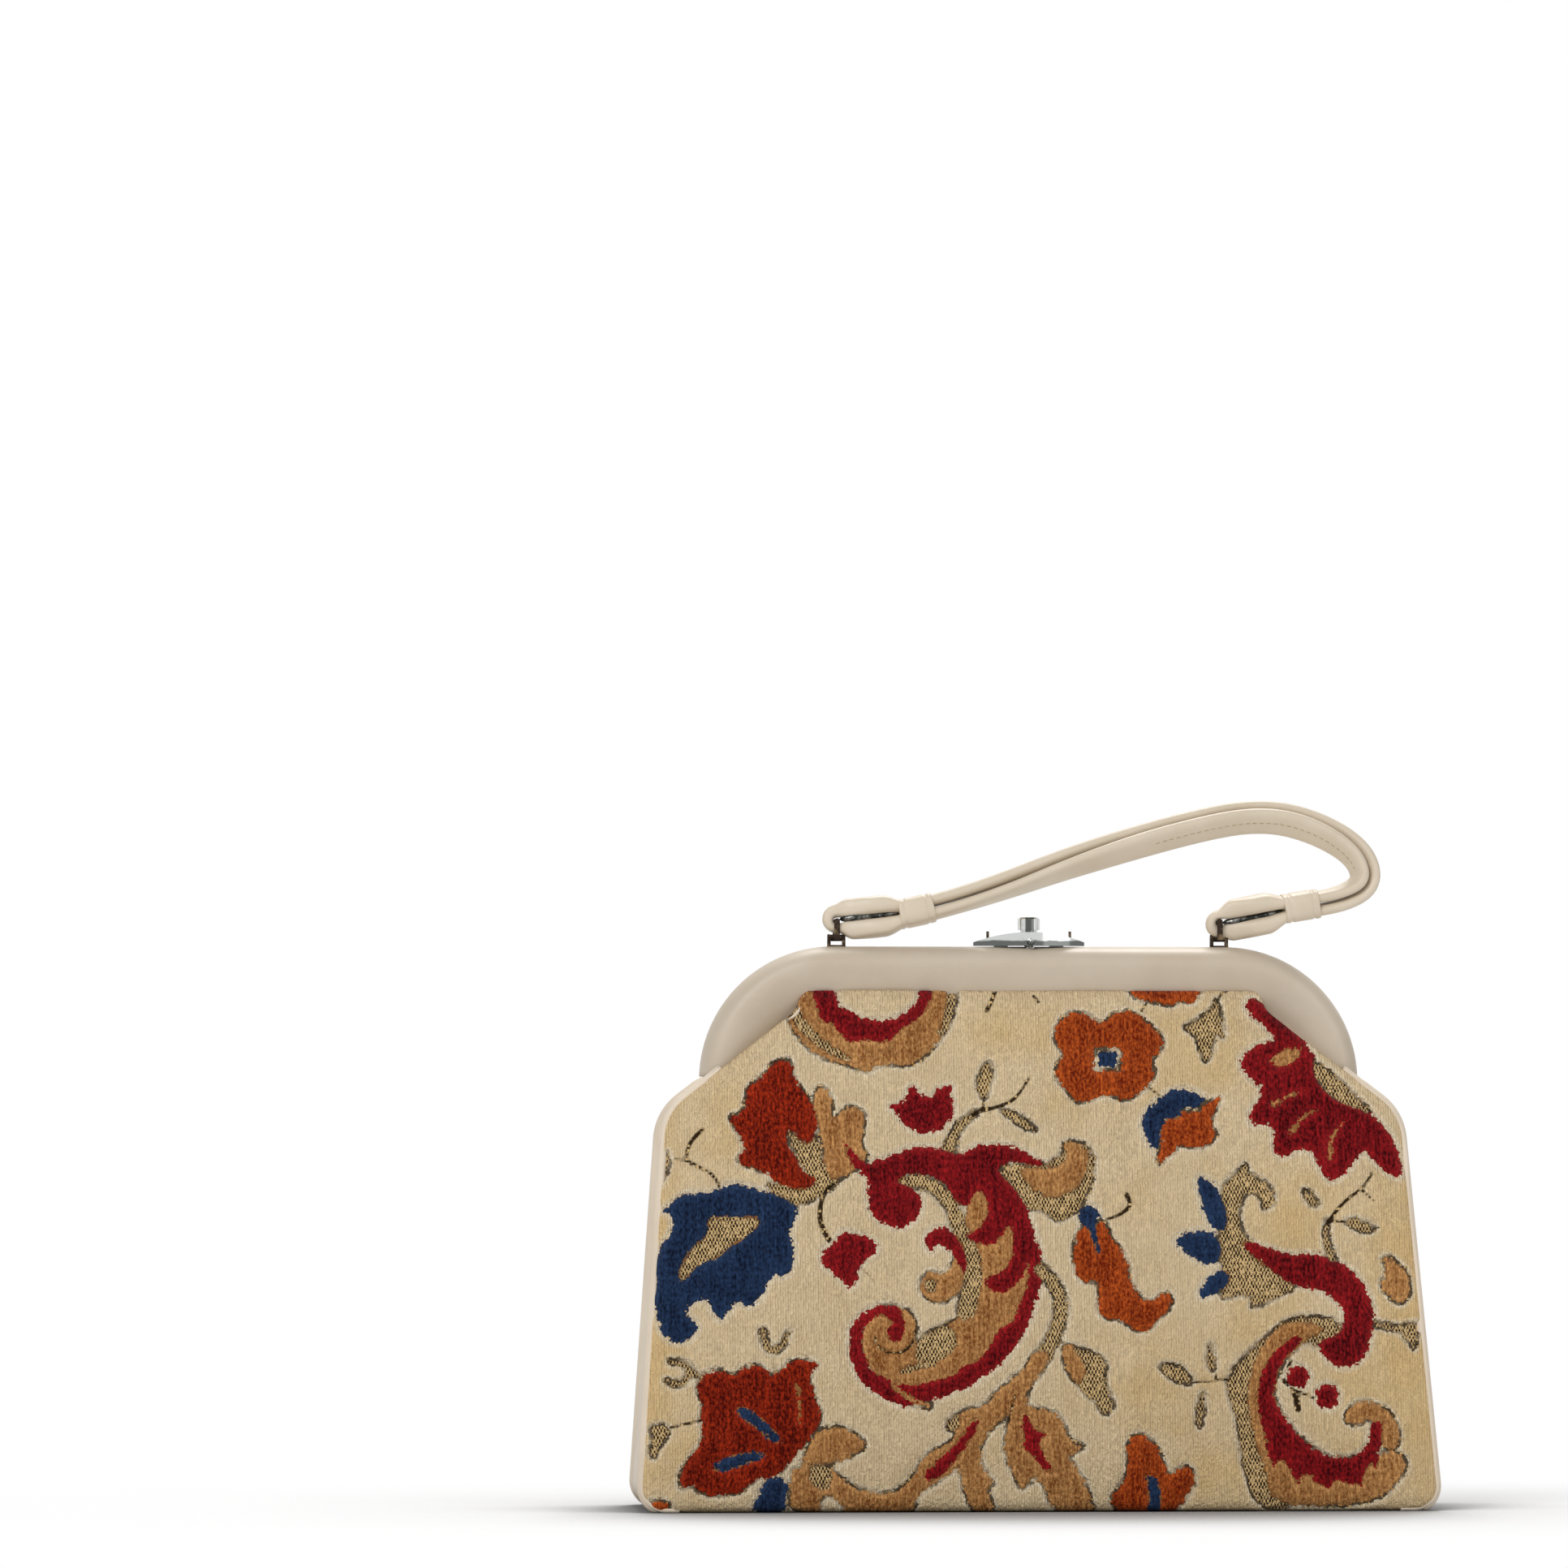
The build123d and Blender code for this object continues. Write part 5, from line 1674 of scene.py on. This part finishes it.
@dataclass
class Handle:
    """The leather handle: one strap folded back through both links, held by a keeper near each end."""

    lug_half: float = 69.0
    bar: float = 209.6
    rise: float = 38.6
    setback: float = 2.8
    width: float = 10.5
    strand: float = 4.1
    gap: float = 0.6
    end: float = 2.6
    keeper_length: float = 12.5
    points: int = 601
    shares: Sequence[Pair] = (
        (1.0, 0.0), (1.377, 0.14), (1.645, 0.207), (1.79, 0.373), (1.732, 0.658), (1.507, 0.891), (1.246, 1.0),
        (0.928, 0.922), (0.29, 0.596), (-0.217, 0.269), (-0.652, 0.052), (-1.0, 0.0),
    )
    keepers: tuple[float, float] = (0.115, 0.89)
    keeper_wall: Sequence[Pair] = (
        (0.0, 0.1), (0.08, 0.7), (0.16, 0.8), (0.22, 0.45), (0.28, 0.8), (0.72, 0.8), (0.78, 0.45), (0.84, 0.8),
        (0.92, 0.7), (1.0, 0.1),
    )
    swell: tuple[float, float] = (17.0, 26.0)
    tab: float = 2.5
    tongue: tuple[float, float] = (1.2, 24.0)
    stitches: tuple[float, float] = (62.0, 118.0)
    stitch_pitch: float = 2.6
    stitch_length: float = 1.5
    stitch_radius: float = 0.2
    strap_cells: tuple[int, int] = (24, 620)
    keeper_cells: tuple[int, int] = (40, 50)
    tongue_cells: tuple[int, int] = (16, 24)

    def line(self) -> np.ndarray:
        """Return the middle line, from the right link to the left."""
        corners = [(x * self.lug_half, self.bar + z * self.rise) for x, z in self.shares]
        return soften(corners, 6, False)

    def length(self) -> float:
        """Return the middle line's length."""
        return float(measured(self.line())[-1])

    def middle(self) -> Path:
        """Return the path along the middle line."""
        return Path.through(spaced(self.line(), self.points))

    def roll(self, share: np.ndarray) -> np.ndarray:
        """Return how far the strap leans back at each share of its length."""
        return np.radians(8 + 44 * smooth(0.14, 0.36, share) * (1 - smooth(0.52, 0.86, share)))

    def spots(self, share: np.ndarray, offset: np.ndarray, aside: np.ndarray) -> np.ndarray:
        """Return points beside the middle line.

        Args:
            share: places along the strap, from 0 at the right link to 1 at the left.
            offset: distances outwards.
            aside: distances across the strap's width.

        Returns:
            The points in millimetres.
        """
        at, out = self.middle().at(np.clip(share, 0, 1))
        lean = self.roll(share)
        flat = offset * np.cos(lean) - aside * np.sin(lean)
        y = self.setback + offset * np.sin(lean) + aside * np.cos(lean)
        return np.stack((at[:, 0] + out[:, 0] * flat, y, at[:, 1] + out[:, 1] * flat), axis=1)

    def strap_place(self, u: np.ndarray, v: np.ndarray) -> np.ndarray:
        """Lay out the closed strap.

        Args:
            u: shares round its section.
            v: shares round its loop.

        Returns:
            Its points in millimetres.
        """
        total = self.length()
        base = (self.strand + self.gap) / 2
        turn = math.pi * self.end
        travel = (v % 1.0) * (2 * total + 2 * turn)
        # Outer strand, turn at the left link, inner strand and turn at the right link
        outer = travel <= total
        far = (travel > total) & (travel <= total + turn)
        inner = (travel > total + turn) & (travel <= 2 * total + turn)
        near = ~(outer | far | inner)
        share = np.select([outer, far, inner], [travel / total, 1.0, 1 - (travel - total - turn) / total], 0.0)
        bend = np.select(
            [outer, far, inner],
            [0.0, (travel - total) / self.end, math.pi], math.pi + (travel - 2 * total - turn) / self.end,
        )
        from_end = np.minimum(share, 1 - share) * total
        upper = (1 + np.cos(bend)) / 2
        swelling = smooth(0.0, 6.0, from_end) * (1 - upper) + smooth(-6.0, 5.0, from_end) * upper
        loop = 1 - smooth(*self.swell, from_end)
        bulge = swelling * loop
        reach = base + (self.end - base) * loop + (1.45 + 0.35 * np.cos(bend)) * bulge
        past = np.where(outer | inner, 0.0, np.sin(bend)) * reach
        offset = np.cos(bend) * reach
        thick = self.strand / 2 * (0.75 + 0.25 * smooth(0.0, 4.0, from_end)) + 1.25 * bulge
        tab = mixed((self.tab, self.width / 2), smooth(3.5, 13, from_end))
        angle = math.tau * u
        wide = signed_power(np.cos(angle), 0.62) * tab
        tall = signed_power(np.sin(angle), 0.8) * thick
        points = self.spots(share, offset + tall * np.cos(bend), wide)
        outward = self.middle().outward
        run_first, run_last = (np.array((-end[1], end[0])) for end in (outward[0], outward[-1]))
        ahead = far[:, None] * run_last + near[:, None] * run_first
        swing = past + tall * np.sin(bend)
        points[:, 0] += swing * ahead[:, 0]
        points[:, 2] += swing * ahead[:, 1]
        return points

    def keeper_form(self, middle: float) -> bmesh.types.BMesh:
        """Bend a keeper band round the strap.

        Args:
            middle: the share of the strap's length where it sits.

        Returns:
            The band's form.
        """
        half = self.keeper_length / 2 / self.length()

        def place(u: np.ndarray, v: np.ndarray) -> np.ndarray:
            """Return the band's points from shares round it and along it."""
            along = np.interp(v, [0, 0.08, 0.5, 0.92, 1.0], [-1, -1, 0, 1, 1])
            wall = np.interp(v, *np.array(self.keeper_wall).T)
            angle = math.tau * u
            wide = signed_power(np.cos(angle), 0.55) * (self.width / 2 + wall)
            tall = signed_power(np.sin(angle), 0.7) * (self.strand + self.gap / 2 + wall)
            return self.spots(middle + along * half, tall, wide)

        return grid_form(*self.keeper_cells, place, weld=True)

    def tongue_form(self, right: bool) -> bmesh.types.BMesh:
        """Shape the slip of metal inside an end loop, which runs on along the loop as a dark filler that paints the
        shade inside it.

        Args:
            right: whether it is the right loop.

        Returns:
            The slip's form.
        """
        total = self.length()

        def place(u: np.ndarray, v: np.ndarray) -> np.ndarray:
            """Return the slip's points from shares round it and along it."""
            share = mixed(self.tongue, v) / total
            round_off = np.sqrt(np.maximum(1 - (2 * v - 1) ** 4, 0.02))
            angle = math.tau * u
            tall = 0.6 + 1.5 * round_off * np.sin(angle)
            return self.spots(share if right else 1 - share, tall, 2.6 * round_off * np.cos(angle))

        return grid_form(*self.tongue_cells, place, weld=True)

    def stitch_form(self) -> bmesh.types.BMesh:
        """Sew the row of stitches along the strap's under face.

        Returns:
            The stitches' form.
        """
        form = bmesh.new()
        total = self.length()
        under = np.full(2, 0.05 - self.gap / 2 - self.strand)
        for start in np.arange(self.stitches[0], total - self.stitches[1], self.stitch_pitch):
            shares = np.array((start, start + self.stitch_length)) / total
            ends = self.spots(shares, under, np.full(2, -0.6)) * MM
            span = Vector(ends[1] - ends[0])
            turn = span.to_track_quat("Z", "Y").to_matrix().to_4x4()
            turn.translation = Vector((ends[0] + ends[1]) / 2)
            radius = self.stitch_radius * MM
            bmesh.ops.create_cone(
                form, cap_ends=True, segments=6, radius1=radius, radius2=radius, depth=span.length, matrix=turn
            )
        return form

    def build(
        self, leather: bpy.types.Material, thread: bpy.types.Material, metal: bpy.types.Material
    ) -> list[bpy.types.Object]:
        """Build the strap, its keepers, its stitches and the metal inside its loops.

        Args:
            leather: the strap's finish.
            thread: the stitches' finish.
            metal: the finish of the metal inside the loops, kept dark to paint the shade there.

        Returns:
            The pieces.
        """
        strap = make_piece(grid_form(*self.strap_cells, self.strap_place, weld=True), "strap_leather", leather)
        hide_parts("handle_strap")
        pieces = [strap]
        for share, node in zip(self.keepers, ("keeper_right", "keeper_left")):
            band = make_piece(self.keeper_form(share), f"{node}_leather", leather)
            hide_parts(node)
            pieces.append(band)
        pieces.append(make_piece(self.stitch_form(), "strap_stitches", thread))
        for right in (True, False):
            tongue = make_piece(self.tongue_form(right), f"link_tongue_{'right' if right else 'left'}", metal)
            pieces.append(tongue)
        for piece in pieces:
            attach(piece, "handle")
        return pieces


@dataclass
class LugSeats:
    """The small metal seats under the handle's links."""

    reach: float = 69.0
    setback: float = 2.8
    middle: float = 200.75
    size: tuple[float, float, float] = (5.4, 4.2, 0.5)

    def build(self, metal: bpy.types.Material) -> bpy.types.Object:
        """Build both seats as one piece.

        Args:
            metal: their finish.

        Returns:
            The piece.
        """
        form = bmesh.new()
        for side in Side:
            block = bmesh.ops.create_cube(form, size=MM)["verts"]
            bmesh.ops.scale(form, vec=self.size, verts=block)
            place = Vector((side.value * self.reach, self.setback, self.middle)) * MM
            bmesh.ops.translate(form, vec=place, verts=block)
        piece = make_piece(form, "lug_seats", metal)
        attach(piece, "bag")
        return piece


@dataclass
class CadFinishes:
    """Finishes of the solids that show as they are, by node."""

    materials: dict[str, bpy.types.Material]

    def dress(self) -> None:
        """Give each solid its finish."""
        for node, key in (
            ("front_frame_steel", "steel"), ("rear_frame_steel", "steel"), ("hinge_rivets", "tarnish"),
            ("clasp_plate", "chrome"), ("clasp_knob", "chrome"), ("clasp_bead", "chrome"), ("clasp_cam", "steel"),
            ("clasp_pins", "tarnish"), ("handle_lugs", "tarnish"), ("lug_pins", "tarnish"), ("link_left", "tarnish"),
            ("link_right", "tarnish"), ("base_board", "board"),
        ):
            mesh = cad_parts[node].data
            mesh.materials.clear()
            mesh.materials.append(self.materials[key])


@dataclass
class Stage:
    """Floor, lights and camera."""

    azimuth: float = -4.5
    elevation: float = -2.5
    distance: float = 3.09
    lens: float = 200.0
    aim: tuple[float, float, float] = (-0.0902, -0.028, 0.2574)
    lit: tuple[float, float, float] = (0.0, 0.0, 0.1)
    floor_half: float = 6.0
    room: float = 0.28

    def floor(self) -> None:
        """Lay a pale floor, with a contact shadow painted darker where the bag hides its sky, that fades into the
        white around it.
        """
        s = Shader("studio_floor")
        away = s.node("ShaderNodeVectorMath", {"operation": "LENGTH"}, {0: s.millimetres((0.6, 1.0, 1.0))}, "Value")
        fade = away.step(60.0, 330.0) * s.node("ShaderNodeLightPath", out="Is Camera Ray")
        # Contact shadow painted into the floor's colour from an occlusion test around the bag
        shadow_free = s.node("ShaderNodeAmbientOcclusion", {"samples": 8}, {"Distance": 0.2}, "AO").step(0.45, 1.0)
        pale = s.mix(shadow_free, (0.12, 0.12, 0.12), (0.92, 0.92, 0.92))
        matt = s.node("ShaderNodeBsdfPrincipled", inputs={"Base Color": pale, "Roughness": 0.9})
        glow = s.node("ShaderNodeEmission", inputs={"Color": (1.0, 1.0, 1.0), "Strength": 1.0})
        surface = s.node("ShaderNodeMixShader", inputs={0: fade, 1: matt, 2: glow})
        s.node("ShaderNodeOutputMaterial", inputs={"Surface": surface})
        form = bmesh.new()
        bmesh.ops.create_grid(form, x_segments=8, y_segments=8, size=self.floor_half)
        make_piece(form, "studio_floor", s.owner)

    def lights(self) -> None:
        """Set a soft key at the upper left, a fill, a light from behind and an even room."""
        for name, energy, size, place in (
            ("key", 25.0, 1.0, (-1.0, -1.6, 1.55)),
            ("fill", 8.0, 1.4, (1.3, -1.6, 0.8)),
            ("rim", 20.0, 0.7, (0.15, 0.9, 1.7)),
        ):
            lamp = bpy.data.lights.new(name, "AREA")
            lamp.energy, lamp.size = energy, size
            held = bpy.data.objects.new(name, lamp)
            held.location = place
            held.rotation_euler = (Vector(self.lit) - Vector(place)).to_track_quat("-Z", "Y").to_euler()
            bpy.context.scene.collection.objects.link(held)
        s = Shader("studio", world=True)
        rays = [s.node("ShaderNodeLightPath", out=f"Is {kind} Ray") for kind in ("Camera", "Glossy", "Transmission")]
        seen = rays[0].larger(rays[1]).larger(rays[2])
        strength = s.node("ShaderNodeMapRange", inputs={"Value": seen, "To Min": self.room, "To Max": 1.0})
        back = s.node("ShaderNodeBackground", inputs={"Color": (1.0, 1.0, 1.0), "Strength": strength})
        s.node("ShaderNodeOutputWorld", inputs={"Surface": back})
        bpy.context.scene.world = s.owner

    def camera(self) -> None:
        """Set the camera at the photograph's angle."""
        data = bpy.data.cameras.new("camera")
        data.lens, data.sensor_width, data.clip_start = self.lens, 36.0, 0.01
        held = bpy.data.objects.new("camera", data)
        turn, tilt = math.radians(self.azimuth), math.radians(self.elevation)
        away = Vector((math.sin(turn) * math.cos(tilt), -math.cos(turn) * math.cos(tilt), math.sin(tilt)))
        held.location = Vector(self.aim) + away * self.distance
        held.rotation_euler = away.to_track_quat("Z", "Y").to_euler()
        bpy.context.scene.collection.objects.link(held)
        bpy.context.scene.camera = held

    def build(self) -> None:
        """Set up the whole stage."""
        self.floor()
        self.lights()
        self.camera()
        bpy.context.scene.view_settings.view_transform = "Standard"


def main() -> None:
    """Build and dress the bag and its stage."""
    logging.basicConfig(level=logging.INFO)
    Stage().build()
    leather = LeatherFinish("cream_leather").material()
    # One cream leather in three brightnesses: the frame's copy is darkest and the strap's lies between, which paints
    # shade onto those parts
    frame_leather = LeatherFinish("frame_leather", linear(199, 185, 166), linear(183, 167, 145)).material()
    strap_leather = LeatherFinish("strap_leather", linear(217, 203, 182), linear(200, 185, 161)).material()
    materials = {
        "steel": MetalFinish("frame_steel", linear(176, 172, 164), linear(92, 84, 74), 0.32, 0.5).material(),
        "chrome": ChromeFinish().material(),
        # Darker than the clasp's chrome: the loops' metal also paints the shade inside the loops
        "loop": MetalFinish("loop_metal_and_shade", linear(138, 138, 134), linear(38, 40, 36), 0.14, 0.8).material(),
        "tarnish": MetalFinish("tarnished_metal", linear(122, 102, 78), linear(46, 32, 22), 0.34, 0.9).material(),
        "board": WovenFinish("base_board", linear(176, 150, 112), linear(150, 124, 88), 0.9).material(),
    }
    lining = WovenFinish("lining_cloth", linear(214, 196, 164), linear(184, 162, 126), 0.6).material()
    thread = WovenFinish("stitch_thread", linear(206, 188, 154), linear(170, 150, 112), 0.3).material()
    carpet = CarpetFinish().material()
    panels = (CarpetPanel(Face.FRONT), CarpetPanel(Face.BACK, BACK_OUTLINE))
    for panel in panels:
        panel.build(carpet)
    for side in Side:
        Gusset(side).build(leather)
        for panel in panels:
            Welt(side, panel.face, panel.outline).build(leather)
            Cheek(side, panel.face, panel.outline).build(leather)
    for face in Face:
        FrameHalf(face).build(frame_leather)
    Base().build(leather)
    Lining().build(lining)
    Handle().build(strap_leather, thread, materials["loop"])
    LugSeats().build(materials["tarnish"])
    CadFinishes(materials).dress()


if __name__ == "__main__":
    main()
